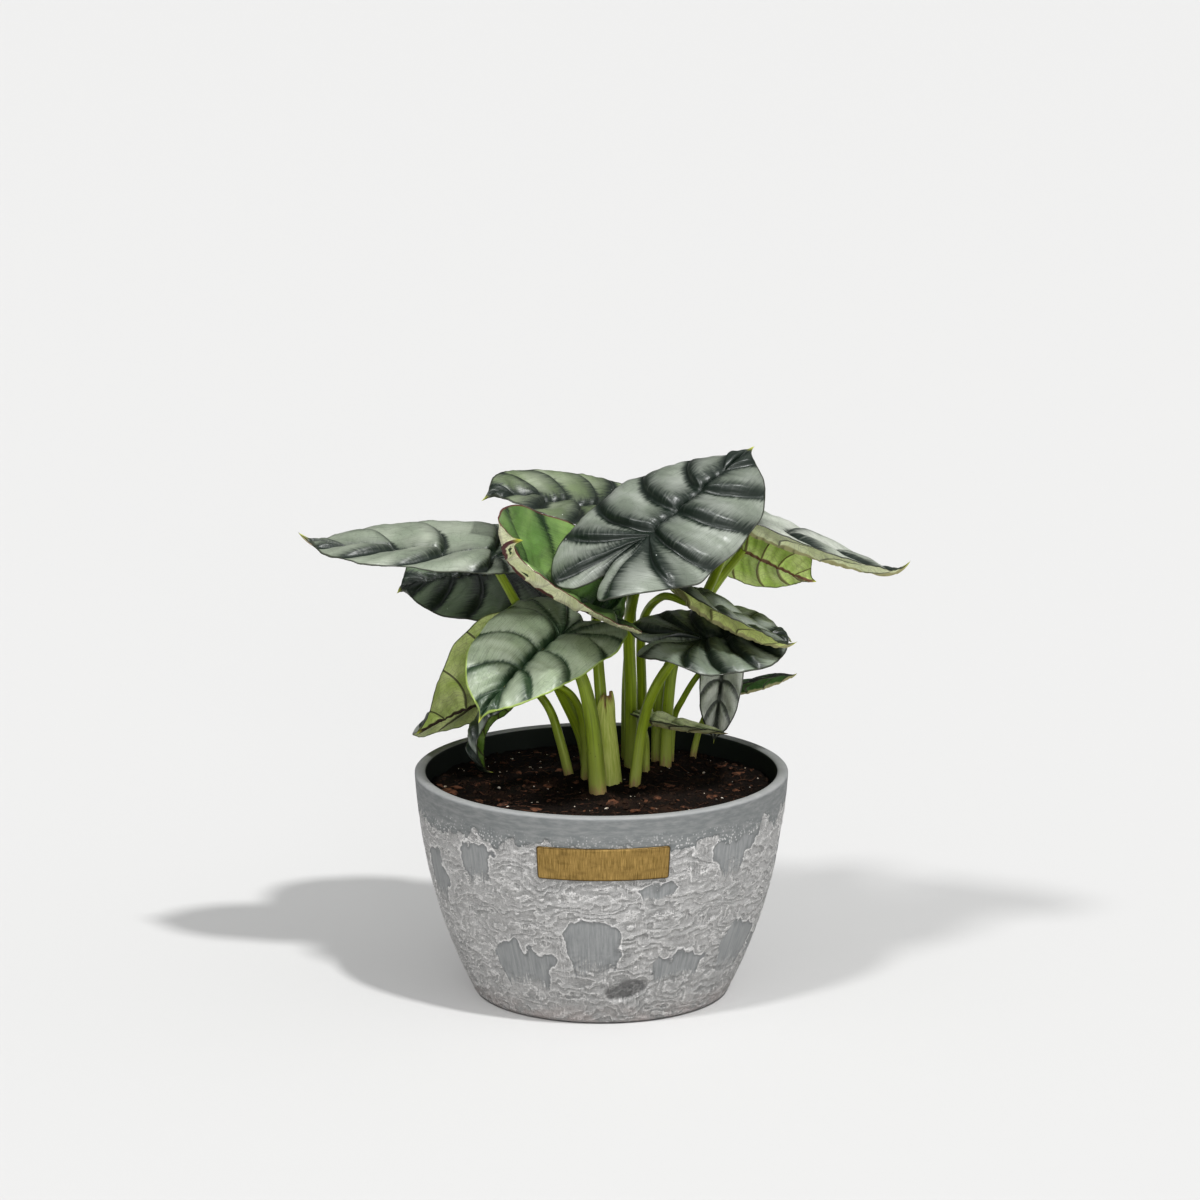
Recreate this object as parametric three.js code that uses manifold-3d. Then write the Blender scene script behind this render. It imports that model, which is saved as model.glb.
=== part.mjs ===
// A potted silver dragon alocasia: fifteen peltate leaves, each blade on its own petiole, grow from soil
// that fills a round bowl pot, which wears a small bare brass plate on its front.
// Millimetres, +Z up. The origin is the centre of the pot's flat base, and the plate faces -Y.
import * as THREE from "three";
import { mergeVertices } from "three/addons/utils/BufferGeometryUtils.js";
import Module from "manifold-3d";

const wasm = await Module();
wasm.setup();

// Driving dimensions
const GAP = 0.3; // clearance kept between neighbouring pieces

const RIM_RADIUS = 100;
const POT_HEIGHT = 121.5;
const FOOT_RADIUS = 68;
const FOOT_EDGE = 2.2; // rounding of the foot
const LIP_EDGE = 1.6; // rounding of the rim
const WALL = 6.2;
const FLOOR = 7;
const POT_SIDES = 60;
const POT_BELLY = [[89, 40], [97.5, 80]]; // radius and height of the two points that bow its side out
const DRAIN_RADIUS = 4.5;
const DRAIN_CIRCLE = 42;
const DRAIN_COUNT = 3;
const DRAIN_SIDES = 16;

const PLATE_WIDTH = 70;
const PLATE_HEIGHT = 18;
const PLATE_MIDDLE = 95.5; // height of its centre above the base
const PLATE_THICKNESS = 1;
const PLATE_TURN = 0.6; // degrees to the right of the pot's front
const PLATE_GRID = [3, 12]; // rows and columns of its faces

const SOIL_EDGE = 110; // height of the soil at the wall
const SOIL_MOUND = 3.5; // how much it rises round the crown
const CROWN = [12, 28]; // where the plant comes up
const SOIL_MOUND_REACH = 30;
const SOIL_LUMPS = [0.5, 0.4]; // height of its soft lumps
const SOIL_SIDES = 36;
const SOIL_RINGS = [0.985, 0.8, 0.62, 0.46, 0.3, 0.15]; // rings of its top, as shares of its radius
const SOIL_SLACK = 0.4; // more clearance to the pot's curved wall, where the faces are flat
const BEND_ROOM = 4; // height kept clear of the pot's floor and of the soil's edge
const ROOT_DEPTH = 98; // height at which the modelled petioles start, inside the soil
const PETIOLE_STEPS = 10;
const PETIOLE_SIDES = 8;

const BLADE_THICKNESS = 0.9;
const PILLOW = 0.035; // height of the pillows between the veins, as a share of the half width
const VEIN_STEPS = 7; // veins divide each half blade into this many cells, from the tip to the sinus

const SHEATH_FOOT = 103;
const SHEATH_LENGTH = 60;
const SHEATH_RADIUS = 5.6; // inner radius at its foot, 1 more than at its top
const SHEATH_THICKNESS = 0.9;
const SHEATH_FACING = -70; // degrees: the middle of the trough faces the front, a little to the right
const SHEATH_SPREAD = [125, 25]; // degrees that it wraps to each side, at its foot and its top
const SHEATH_GRID = [8, 8]; // rows and columns of its faces
const SHEATH_SHIFT = [1.2, -0.5]; // the sheath stands off its petiole to the right and front

// Each leaf. at: where the petiole meets the blade. heading, pitch and roll, in degrees, turn the rib
// from +X about Z, lift it, and tip the upper face to the leaf's right. front and rear: length of the
// blade ahead of and behind that point. half: half its width. bend and tip: how far the rib turns up
// along its front and at its end. droop: how far the rear lobes hang. fold and cup, left and right:
// how far each half rises from the rib at once, and by its margin. pinch: more fold at the tip.
// flare: more fold at the rear. lobes: length of each rear lobe, as a share of rear.
// radius: of the petiole at its foot and its top. via: points that it passes above the soil.
const plain = {
  bend: 0,
  tip: 0,
  droop: 0,
  fold: [10, 10],
  cup: [0, 0],
  pinch: 0,
  flare: [0, 0],
  lobes: [1, 1],
  steps: [2, 4],
};
const LEAVES = {
  top: {
    at: [25, -54, 261], heading: 42, pitch: 27, roll: 25, front: 84, rear: 51, half: 42, bend: -1,
    tip: -4, droop: 15, fold: [-13, 16], cup: [-2, -47], pinch: -14, flare: [-1, 33],
    lobes: [1.03, 1.01], radius: [4.2, 2.6], foot: [16, 32],
    via: [[16, 27, 152], [15, 14, 197], [19, -28, 231]],
  },
  upper_left: {
    at: [-1, 34, 255], heading: -154, pitch: 11, roll: -8, front: 72, rear: 44, half: 35, bend: 8,
    tip: -49, droop: 1, fold: [3, 15], cup: [-7, 0], pinch: -2, flare: [0, -1], radius: [3.4, 2.2],
    foot: [14, 46],
    via: [[14, 46, 153], [16, 43, 199], [12, 40, 228]],
  },
  far_left: {
    at: [-58, -2, 236], heading: -184, pitch: 3, roll: -4, front: 106, rear: 40, half: 37, tip: 44,
    fold: [14, 16], cup: [-21, -4], pinch: -7, flare: [-1, 0], lobes: [0.6, 1], radius: [4, 2.3],
    foot: [-6, 24],
    via: [[-10, 22, 131], [-24, 13, 165], [-43, 7, 206]],
  },
  left: {
    at: [-51, 60, 214], heading: -170, pitch: 2, roll: -19, front: 62, rear: 42, half: 41,
    bend: -16, tip: -28, fold: [-4, 9], cup: [-8, -12], pinch: 2, radius: [3.4, 2.2],
    foot: [-2, 38],
    via: [[-7, 38, 147], [-19, 45, 178], [-39, 55, 202]],
  },
  rolled: {
    at: [-3, -26, 212], heading: -164, pitch: 21, roll: -57, front: 105, rear: 22, half: 46,
    bend: 71, tip: 63, fold: [56, -20], cup: [21, 55], lobes: [0.8, 0.8], radius: [3.6, 2.4],
    foot: [5, 2],
    via: [[0, 7, 155], [-2, 12, 181], [-3, 12, 202]],
  },
  front: {
    at: [-22, -19, 198], heading: -126, pitch: -10, roll: -13, front: 75, rear: 35, half: 33,
    bend: -34, tip: -11, droop: 14, fold: [9, 17], cup: [-15, -10], pinch: 8, flare: [9, 0],
    lobes: [0.85, 0.82], radius: [5.2, 2.7], foot: [-1, -14],
    via: [[-4, -15, 141], [-8, -16, 167], [-15, -17, 186]],
  },
  low_left: {
    at: [-47, 28, 157], heading: -152, pitch: -9, roll: 51, front: 64, rear: 24, half: 55,
    bend: -14, fold: [3, 29], cup: [51, -20], lobes: [0.6, 0.8], radius: [2.8, 2], foot: [-14, 20],
    via: [[-22, 20, 131], [-28, 24, 148], [-37, 27, 158]],
  },
  drooping: {
    at: [-60, -5, 158], heading: 180, pitch: -31, roll: 15, front: 48, rear: 12, half: 14,
    bend: -125, tip: -28, fold: [-33, -36], cup: [0, -1], pinch: 2, radius: [2.6, 1.5],
    foot: [-9, 10], steps: [1, 3],
    via: [[-9, 9, 137], [-15, 5, 159], [-30, -1, 169], [-45, -4, 166]],
  },
  right: {
    at: [54, -15, 196], heading: 12, pitch: 2, roll: 14, front: 50, rear: 37, half: 38, bend: -7,
    tip: -36, droop: 4, fold: [4, 1], cup: [-14, -10], pinch: 3, flare: [-2, 15],
    lobes: [0.99, 1.06], radius: [3.6, 2.4], foot: [16, -3],
    via: [[21, -2, 141], [28, -6, 166], [41, -12, 187]],
  },
  narrow_right: {
    at: [46, -8, 214], heading: -35, pitch: -28, roll: -25, front: 68, rear: 20, half: 26,
    bend: 27, tip: 39, droop: 8, fold: [19, 20], cup: [12, -16], pinch: -1, flare: [-9, 0],
    lobes: [0.99, 1], radius: [3.2, 1.9], foot: [21, 60],
    via: [[22, 52, 146], [22, 32, 192], [32, 10, 213]],
  },
  back_right: {
    at: [77, 54, 229], heading: -9, pitch: -26, roll: -48, front: 43, rear: 32, half: 33, bend: 4,
    tip: 25, fold: [8, 10], cup: [-9, -49], pinch: 16, radius: [3.2, 2.2], foot: [30, 52],
    via: [[32, 52, 151], [47, 54, 184], [62, 56, 209]],
  },
  far_right: {
    at: [72, 8, 252], heading: -4, pitch: -25, roll: -8, front: 99, rear: 42, half: 30, bend: 17,
    tip: 59, fold: [19, 19], cup: [3, -10], pinch: -3, radius: [3.8, 2.4], foot: [34, 38],
    via: [[36, 38, 149], [41, 36, 178], [55, 26, 209]],
  },
  hanging: {
    at: [66, 45, 170], heading: -124, pitch: -78, roll: -38, front: 46, rear: 15, half: 13,
    bend: 2, tip: -1, fold: [27, 24], cup: [0, -1], pinch: 8, radius: [2, 1.5], foot: [37, 50],
    steps: [1, 3],
    via: [[39, 50, 133], [44, 48, 147], [54, 46, 163]],
  },
  slim_right: {
    at: [70, 58, 148], heading: -11, pitch: 9, roll: -10, front: 39, rear: 14, half: 12, bend: 20,
    tip: 6, fold: [28, 19], cup: [8, 0], pinch: 1, radius: [2.2, 1.5], foot: [48, 61],
    steps: [1, 3],
    via: [[51, 60, 118], [55, 60, 131], [62, 59, 144]],
  },
  low_right: {
    at: [27, 15, 143], heading: -11, pitch: -14, roll: -7, front: 42, rear: 12, half: 10, bend: 18,
    tip: -7, droop: -1, fold: [19, 17], cup: [3, 0], pinch: 4, flare: [4, 0], radius: [2.2, 1.6],
    foot: [24, 20], steps: [1, 3],
    via: [[24, 19, 129], [23, 17, 139]],
  },
};
const SHEATHED = "rolled"; // the leaf whose petiole still has its old sheath

// The half blade, as shares of its half width and of its length ahead of or behind the petiole.
// MARGIN goes round from the tip to the sinus in steps of half a cell. RIB and PULL have one entry for
// each vein: where the vein leaves the rib, and the point that bows it towards the tip.
const MARGIN = [
  [0, 1], [0.07, 0.93], [0.24, 0.88], [0.46, 0.82], [0.66, 0.73], [0.82, 0.6], [0.93, 0.44],
  [0.985, 0.26], [1, 0.06], [1, -0.18], [0.96, -0.46], [0.83, -0.77], [0.56, -0.985],
  [0.22, -0.93], [0, -0.6],
];
const RIB = [[0, 0.9], [0, 0.7], [0, 0.48], [0, 0.25], [0, 0.04], [0, 0], [0, 0], [0, 0]];
const PULL = [
  [0, 0.95], [0.16, 0.8], [0.36, 0.5], [0.58, 0.2], [0.62, -0.14], [0.48, -0.45],
  [0.18, -0.62], [0, -0.3],
];

const rad = THREE.MathUtils.degToRad;
const smooth = (x) => THREE.MathUtils.smoothstep(x, 0, 1);

function between(table, place) {
  const i = Math.min(Math.floor(place), table.length - 2);
  return [0, 1].map((k) => THREE.MathUtils.lerp(table[i][k], table[i + 1][k], place - i));
}

// A point of the flat blade: round goes 0 to 7 from the tip to the sinus, out 0 to 1 from rib to margin.
function flatPoint(leaf, side, round, out) {
  const rib = between(RIB, round);
  const pull = between(PULL, round);
  const margin = between(MARGIN, round * 2);
  const [across, along] = [0, 1].map(
    (k) => (1 - out) ** 2 * rib[k] + 2 * out * (1 - out) * pull[k] + out ** 2 * margin[k],
  );
  const lobe = 1 + (leaf.lobes[side < 0 ? 0 : 1] - 1) * smooth(across / 0.3);
  return [across, along > 0 ? along * leaf.front : along * leaf.rear * lobe];
}

// The rib's directions where the petiole meets it: ahead, up through the upper face, and to the right.
function bladeAxes(leaf) {
  const heading = rad(leaf.heading);
  const pitch = rad(leaf.pitch);
  const ahead = new THREE.Vector3(
    Math.cos(pitch) * Math.cos(heading),
    Math.cos(pitch) * Math.sin(heading),
    Math.sin(pitch),
  );
  const level = new THREE.Vector3(0, 0, 1).addScaledVector(ahead, -ahead.z).normalize();
  const up = level.applyAxisAngle(ahead, rad(leaf.roll));
  return { ahead, up, right: ahead.clone().cross(up) };
}

// The rib as a curve in the plane of ahead and up: its point and its directions at a length along it.
function ribOf(leaf) {
  const { ahead, up, right } = bladeAxes(leaf);
  const start = new THREE.Vector3(...leaf.at);
  const turnAt = (along) => {
    if (along < 0) return rad(leaf.droop) * Math.abs(along / leaf.rear) ** 1.2;
    const share = along / leaf.front;
    return rad(leaf.bend) * share + rad(leaf.tip) * smooth((share - 0.78) / 0.22);
  };
  const aheadAt = (turn) =>
    ahead.clone().multiplyScalar(Math.cos(turn)).addScaledVector(up, Math.sin(turn));
  const steps = 40;
  return (along) => {
    const point = start.clone();
    for (let i = 0; i < steps; i++)
      point.addScaledVector(aheadAt(turnAt((along * (i + 0.5)) / steps)), along / steps);
    const direction = aheadAt(turnAt(along));
    return { point, up: right.clone().cross(direction), right };
  };
}

// A point of one face of the blade, lift above its middle surface.
function bladePoint(leaf, rib, side, round, out, lift) {
  const [across, along] = flatPoint(leaf, side, round, out);
  const { point, up, right } = rib(along);
  const hand = side < 0 ? 0 : 1;
  const fold =
    leaf.fold[hand] +
    leaf.pinch * smooth((along / leaf.front - 0.2) / 0.8) +
    leaf.flare[hand] * smooth(-along / leaf.rear);
  const slopeAt = (share) => rad(fold) + rad(leaf.cup[hand]) * share ** 1.5;
  const steps = 16;
  for (let i = 0; i < steps; i++) {
    const slope = slopeAt((across * (i + 0.5)) / steps);
    point.addScaledVector(right, (side * across * leaf.half * Math.cos(slope)) / steps);
    point.addScaledVector(up, (across * leaf.half * Math.sin(slope)) / steps);
  }
  const slope = across === 0 ? 0 : slopeAt(across);
  const normal = up.multiplyScalar(Math.cos(slope)).addScaledVector(right, -side * Math.sin(slope));
  const pillow = PILLOW * leaf.half * Math.sin(Math.PI * round) ** 2 * 4 * out * (1 - out);
  return point.addScaledVector(normal, pillow + lift);
}

// One closed geometry from vertices and four or three cornered faces, with doubled corners dropped.
function closedGeometry(vertices, faces) {
  const geometry = new THREE.BufferGeometry();
  geometry.setAttribute("position", new THREE.Float32BufferAttribute(vertices.flat(), 3));
  const triangles = faces.flatMap(([a, b, c, d]) =>
    d === undefined ? [[a, b, c]] : [[a, b, c], [a, c, d]],
  );
  geometry.setIndex(triangles.flat());
  return joined(geometry);
}

function joined(geometry) {
  for (const name of ["normal", "uv"]) geometry.deleteAttribute(name);
  const merged = mergeVertices(geometry, 1e-3);
  const index = [...merged.index.array];
  const kept = [];
  for (let i = 0; i < index.length; i += 3) {
    const corners = index.slice(i, i + 3);
    if (new Set(corners).size === 3) kept.push(...corners);
  }
  return merged.setIndex(kept);
}

function solidOf(geometry) {
  return new wasm.Manifold(
    new wasm.Mesh({
      numProp: 3,
      vertProperties: new Float32Array(geometry.getAttribute("position").array),
      triVerts: new Uint32Array(geometry.index.array),
    }),
  );
}

function geometryOf(solid) {
  const mesh = solid.getMesh();
  const geometry = new THREE.BufferGeometry();
  geometry.setAttribute("position", new THREE.BufferAttribute(mesh.vertProperties, 3));
  geometry.setIndex(new THREE.BufferAttribute(mesh.triVerts, 1));
  return geometry;
}

function largestBody(solid) {
  const bodies = solid.decompose();
  return bodies.reduce((best, body) => (body.volume() > best.volume() ? body : best));
}

function bladeGeometry(leaf, thickness) {
  const [cellSteps, rows] = leaf.steps;
  const columns = VEIN_STEPS * cellSteps;
  const rib = ribOf(leaf);
  const vertices = [];
  const faces = [];
  const id = (half, face, i, j) => ((half * 2 + face) * (columns + 1) + i) * (rows + 1) + j;
  for (const half of [0, 1])
    for (const face of [0, 1])
      for (let i = 0; i <= columns; i++)
        for (let j = 0; j <= rows; j++) {
          const side = half ? 1 : -1;
          const lift = (face ? 1 : -1) * (thickness / 2);
          const out = j / rows;
          vertices.push(bladePoint(leaf, rib, side, i / cellSteps, out, lift).toArray());
        }
  for (const half of [0, 1])
    for (let i = 0; i < columns; i++) {
      for (let j = 0; j < rows; j++)
        for (const face of [0, 1]) {
          const corners = [[i, j], [i + 1, j], [i + 1, j + 1], [i, j + 1]];
          // the corners start at the same vertex on both faces, so that both split alike
          const order = half === face ? corners : [corners[0], corners[3], corners[2], corners[1]];
          faces.push(order.map(([u, v]) => id(half, face, u, v)));
        }
      const edge = [[1, i], [1, i + 1], [0, i + 1], [0, i]].map(([face, u]) => id(half, face, u, rows));
      faces.push(half ? edge : edge.reverse());
    }
  return closedGeometry(vertices, faces);
}

// A closed round tube along a path, whose radius changes from one end to the other.
function tubeGeometry(path, radiusAt, steps, sides) {
  const vertices = [];
  const faces = [];
  const ref = new THREE.Vector3(1, 0, 0);
  for (let i = 0; i <= steps; i++) {
    const middle = path.getPoint(i / steps);
    const tangent = path.getTangent(i / steps);
    const across = ref.clone().addScaledVector(tangent, -ref.dot(tangent)).normalize();
    const other = tangent.clone().cross(across);
    for (let k = 0; k < sides; k++) {
      const angle = (2 * Math.PI * k) / sides;
      const point = middle.clone();
      point.addScaledVector(across, radiusAt(i / steps) * Math.cos(angle));
      point.addScaledVector(other, radiusAt(i / steps) * Math.sin(angle));
      vertices.push(point.toArray());
    }
  }
  for (let i = 0; i < steps; i++)
    for (let k = 0; k < sides; k++) {
      const next = (k + 1) % sides;
      const low = i * sides;
      faces.push([low + k, low + next, low + sides + next, low + sides + k]);
    }
  for (const end of [0, steps]) {
    const centre = vertices.length;
    vertices.push(path.getPoint(end / steps).toArray());
    for (let k = 0; k < sides; k++) {
      const edge = [end * sides + k, end * sides + ((k + 1) % sides)];
      faces.push(end ? [centre, ...edge] : [centre, edge[1], edge[0]]);
    }
  }
  return closedGeometry(vertices, faces);
}

function petiolePath(leaf) {
  const points = [[...leaf.foot, ROOT_DEPTH], ...leaf.via, leaf.at];
  return new THREE.CatmullRomCurve3(
    points.map((p) => new THREE.Vector3(...p)),
    false,
    "catmullrom",
    0.5,
  );
}

function petioleTube(leaf, grow) {
  const [foot, top] = leaf.radius;
  const radiusAt = (share) => top + (foot - top) * (1 - share) ** 1.3 + grow;
  return solidOf(tubeGeometry(petiolePath(leaf), radiusAt, PETIOLE_STEPS, PETIOLE_SIDES));
}

// The petiole stops under the blade, just clear of it.
function petioleSolid(leaf) {
  const wider = { ...leaf, half: leaf.half + 1, front: leaf.front + 1, rear: leaf.rear + 1 };
  const room = solidOf(bladeGeometry(wider, BLADE_THICKNESS + 2 * GAP));
  return largestBody(petioleTube(leaf, 0).subtract(room));
}

// The pot's outer side: radius against height, from the foot to the rim.
function potSide(points) {
  const curve = new THREE.CubicBezierCurve(
    new THREE.Vector2(FOOT_RADIUS, 0),
    ...POT_BELLY.map(([radius, height]) => new THREE.Vector2(radius, height)),
    new THREE.Vector2(RIM_RADIUS, POT_HEIGHT),
  );
  return curve.getPoints(points);
}

function potRadius(height) {
  const side = potSide(60);
  const i = Math.max(1, side.findIndex((p) => p.y >= height));
  const share = (height - side[i - 1].y) / (side[i].y - side[i - 1].y);
  return THREE.MathUtils.lerp(side[i - 1].x, side[i].x, share);
}

function latheSolid(profile, sides) {
  const geometry = new THREE.LatheGeometry(
    profile.map(([radius, height]) => new THREE.Vector2(radius, height)),
    sides,
  );
  return solidOf(joined(geometry.rotateX(Math.PI / 2)));
}

function potSolid() {
  const side = potSide(8)
    .map((p) => [p.x, p.y])
    .filter(([, height]) => height > FOOT_EDGE && height < POT_HEIGHT - LIP_EDGE);
  const inside = side.filter(([, height]) => height > FLOOR + BEND_ROOM).reverse();
  const profile = [
    [0, 0],
    [FOOT_RADIUS - FOOT_EDGE, 0],
    [potRadius(FOOT_EDGE), FOOT_EDGE],
    ...side,
    [potRadius(POT_HEIGHT - LIP_EDGE), POT_HEIGHT - LIP_EDGE],
    [RIM_RADIUS - LIP_EDGE, POT_HEIGHT],
    [RIM_RADIUS - WALL + LIP_EDGE / 2, POT_HEIGHT],
    [RIM_RADIUS - WALL, POT_HEIGHT - LIP_EDGE / 2],
    ...inside.map(([radius, height]) => [radius - WALL, height]),
    [potRadius(FLOOR) - WALL, FLOOR],
    [0, FLOOR],
  ];
  let pot = latheSolid(profile, POT_SIDES);
  for (let k = 0; k < DRAIN_COUNT; k++) {
    const angle = (2 * Math.PI * (k + 0.25)) / DRAIN_COUNT;
    const drain = new THREE.CylinderGeometry(DRAIN_RADIUS, DRAIN_RADIUS, 3 * FLOOR, DRAIN_SIDES);
    drain.rotateX(Math.PI / 2);
    drain.translate(DRAIN_CIRCLE * Math.cos(angle), DRAIN_CIRCLE * Math.sin(angle), 0);
    pot = pot.subtract(solidOf(joined(drain)));
  }
  return pot;
}

// How far the soil's top stands above its edge: a mound round the crown, with a few soft lumps.
function soilRise(x, y) {
  const reach = Math.hypot(x - CROWN[0], y - CROWN[1]) / SOIL_MOUND_REACH;
  const lumps = SOIL_LUMPS[0] * Math.sin(x / 9 + 1) * Math.cos(y / 7);
  const folds = SOIL_LUMPS[1] * Math.sin((x + 2 * y) / 11);
  return SOIL_MOUND * Math.exp(-reach * reach) + lumps + folds;
}

function soilGeometry() {
  const edge = potRadius(SOIL_EDGE) - WALL - GAP;
  const side = potSide(4)
    .map((p) => [p.x - WALL - GAP - SOIL_SLACK, p.y])
    .filter(([, height]) => height > FLOOR + BEND_ROOM && height < SOIL_EDGE - BEND_ROOM);
  const profile = [
    [0, FLOOR + GAP],
    [potRadius(FLOOR + GAP) - WALL - GAP, FLOOR + GAP],
    ...side,
    [edge, SOIL_EDGE - 1],
    ...SOIL_RINGS.map((share) => [edge * share, SOIL_EDGE]),
    [0, SOIL_EDGE],
  ];
  const points = profile.map(([radius, height]) => new THREE.Vector2(radius, height));
  const geometry = new THREE.LatheGeometry(points, SOIL_SIDES).rotateX(Math.PI / 2);
  const position = geometry.getAttribute("position");
  for (let i = 0; i < position.count; i++)
    if (position.getZ(i) > SOIL_EDGE - 0.5)
      position.setZ(i, SOIL_EDGE + soilRise(position.getX(i), position.getY(i)));
  return joined(geometry);
}

// The soil, with a plain hole for each petiole.
function soilSolid() {
  let soil = solidOf(soilGeometry());
  for (const [name, leaf] of Object.entries(LEAVES)) {
    soil = soil.subtract(petioleTube(leaf, GAP));
    if (name === SHEATHED) soil = soil.subtract(solidOf(sheathGeometry(GAP)));
  }
  return largestBody(soil);
}

// A thin closed sheet: place(skin, row share, column share) gives its inner (0) and outer (1) skin.
function sheetGeometry(rows, columns, place) {
  const vertices = [];
  const faces = [];
  const id = (skin, i, j) => (skin * (rows + 1) + i) * (columns + 1) + j;
  for (const skin of [0, 1])
    for (let i = 0; i <= rows; i++)
      for (let j = 0; j <= columns; j++) vertices.push(place(skin, i / rows, j / columns));
  for (let i = 0; i < rows; i++)
    for (let j = 0; j < columns; j++) {
      faces.push([id(1, i, j), id(1, i, j + 1), id(1, i + 1, j + 1), id(1, i + 1, j)]);
      faces.push([id(0, i, j), id(0, i + 1, j), id(0, i + 1, j + 1), id(0, i, j + 1)]);
    }
  for (let j = 0; j < columns; j++) {
    faces.push([id(0, 0, j), id(0, 0, j + 1), id(1, 0, j + 1), id(1, 0, j)]);
    faces.push([id(1, rows, j), id(1, rows, j + 1), id(0, rows, j + 1), id(0, rows, j)]);
  }
  for (let i = 0; i < rows; i++) {
    faces.push([id(0, i, 0), id(1, i, 0), id(1, i + 1, 0), id(0, i + 1, 0)]);
    faces.push([id(1, i, columns), id(0, i, columns), id(0, i + 1, columns), id(1, i + 1, columns)]);
  }
  return closedGeometry(vertices, faces);
}

// The old leaf sheath: a thin trough round the front of its petiole, which narrows to a torn point.
function sheathGeometry(grow) {
  const path = petiolePath(LEAVES[SHEATHED]);
  return sheetGeometry(...SHEATH_GRID, (skin, up, across) => {
    const height = SHEATH_FOOT + SHEATH_LENGTH * up;
    const middle = path.getPoint(petioleShare(path, height));
    const inner = SHEATH_RADIUS - up - grow;
    const radius = skin ? inner + SHEATH_THICKNESS + 2 * grow : inner;
    const wrap = THREE.MathUtils.lerp(...SHEATH_SPREAD, up ** 3);
    const spread = rad(wrap) + grow / inner;
    const angle = rad(SHEATH_FACING) + spread * (2 * across - 1);
    return [
      middle.x + SHEATH_SHIFT[0] + radius * Math.cos(angle),
      middle.y + SHEATH_SHIFT[1] + radius * Math.sin(angle),
      height,
    ];
  });
}

// The share of a petiole's path at which it reaches a height.
function petioleShare(path, height) {
  let [low, high] = [0, 1];
  for (let i = 0; i < 24; i++) {
    const middle = (low + high) / 2;
    if (path.getPoint(middle).z < height) low = middle;
    else high = middle;
  }
  return low;
}

// The brass plate, curved to the pot's side.
function plateGeometry() {
  return sheetGeometry(...PLATE_GRID, (skin, up, across) => {
    const height = PLATE_MIDDLE + PLATE_HEIGHT * (up - 0.5);
    const radius = potRadius(height) + GAP + skin * PLATE_THICKNESS;
    const swing = (PLATE_WIDTH / potRadius(PLATE_MIDDLE)) * (across - 0.5);
    const angle = rad(PLATE_TURN - 90) + swing;
    return [radius * Math.cos(angle), radius * Math.sin(angle), height];
  });
}

const MATERIALS = {
  pot: { color: 0x8c8e90, roughness: 0.7, metalness: 0 },
  soil: { color: 0x1c120c, roughness: 0.95, metalness: 0 },
  plate: { color: 0xb98a3c, roughness: 0.35, metalness: 1 },
  blade: { color: 0x6f7c6c, roughness: 0.45, metalness: 0 },
  young_blade: { color: 0x4f8a3e, roughness: 0.45, metalness: 0 },
  petiole: { color: 0x5f8a2c, roughness: 0.5, metalness: 0 },
  sheath: { color: 0xc4c088, roughness: 0.7, metalness: 0 },
};

const group = new THREE.Group();

function add(name, geometry, look) {
  geometry.computeVertexNormals();
  const mesh = new THREE.Mesh(geometry, new THREE.MeshStandardMaterial(MATERIALS[look]));
  mesh.name = name;
  group.add(mesh);
}

for (const name of Object.keys(LEAVES)) LEAVES[name] = { ...plain, ...LEAVES[name] };

add("pot", geometryOf(potSolid()), "pot");
add("name_plate", plateGeometry(), "plate");
add("soil", geometryOf(soilSolid()), "soil");
add("old_sheath", sheathGeometry(0), "sheath");
for (const [name, leaf] of Object.entries(LEAVES)) {
  const look = name === SHEATHED ? "young_blade" : "blade";
  add("blade_" + name, bladeGeometry(leaf, BLADE_THICKNESS), look);
  add("petiole_" + name, geometryOf(petioleSolid(leaf)), "petiole");
}

export default group;
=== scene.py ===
import math

import bpy
import numpy as np
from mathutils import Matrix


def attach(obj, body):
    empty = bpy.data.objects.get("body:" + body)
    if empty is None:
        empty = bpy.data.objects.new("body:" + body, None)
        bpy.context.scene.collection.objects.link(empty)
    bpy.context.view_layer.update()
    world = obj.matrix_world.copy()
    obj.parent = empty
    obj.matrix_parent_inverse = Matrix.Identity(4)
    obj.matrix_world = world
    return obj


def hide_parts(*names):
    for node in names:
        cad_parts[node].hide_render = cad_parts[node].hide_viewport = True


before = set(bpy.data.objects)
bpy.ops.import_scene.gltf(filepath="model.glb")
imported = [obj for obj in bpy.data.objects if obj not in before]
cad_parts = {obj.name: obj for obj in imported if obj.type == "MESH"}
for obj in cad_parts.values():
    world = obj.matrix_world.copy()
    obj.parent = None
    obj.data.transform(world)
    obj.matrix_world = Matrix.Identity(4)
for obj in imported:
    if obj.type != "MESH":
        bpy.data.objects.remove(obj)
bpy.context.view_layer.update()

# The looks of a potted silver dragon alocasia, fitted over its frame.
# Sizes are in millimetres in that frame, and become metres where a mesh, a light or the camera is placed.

MM = 0.001

# Sizes that the solids share
RIM_RADIUS = 100
POT_HEIGHT = 121.5
FOOT_RADIUS = 68
FOOT_EDGE = 2.2  # rounding of the foot
POT_BELLY = [[89, 40], [97.5, 80]]  # radius and height of the two points that bow its side out
WALL = 6.2
FLOOR = 7
DRAIN_RADIUS = 4.5
DRAIN_CIRCLE = 42
DRAIN_COUNT = 3
PLATE_WIDTH = 70
PLATE_HEIGHT = 18
PLATE_MIDDLE = 95.5
PLATE_TURN = 0.6  # degrees round the pot from its front
SOIL_EDGE = 110
SOIL_MOUND = 3.5
CROWN = (12, 28)
ROOT_DEPTH = 98
SHEATH_FOOT = 103
SHEATH_LENGTH = 60
SHEATH_SHIFT = (1.2, -0.5)
SHEATH_FACING = -70  # degrees from +X about Z
SHEATH_RADIUS = 5.7
SHEATH_SPREAD = (125, 25)  # how far it reaches round to each side, in degrees, at its foot and its top

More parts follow.
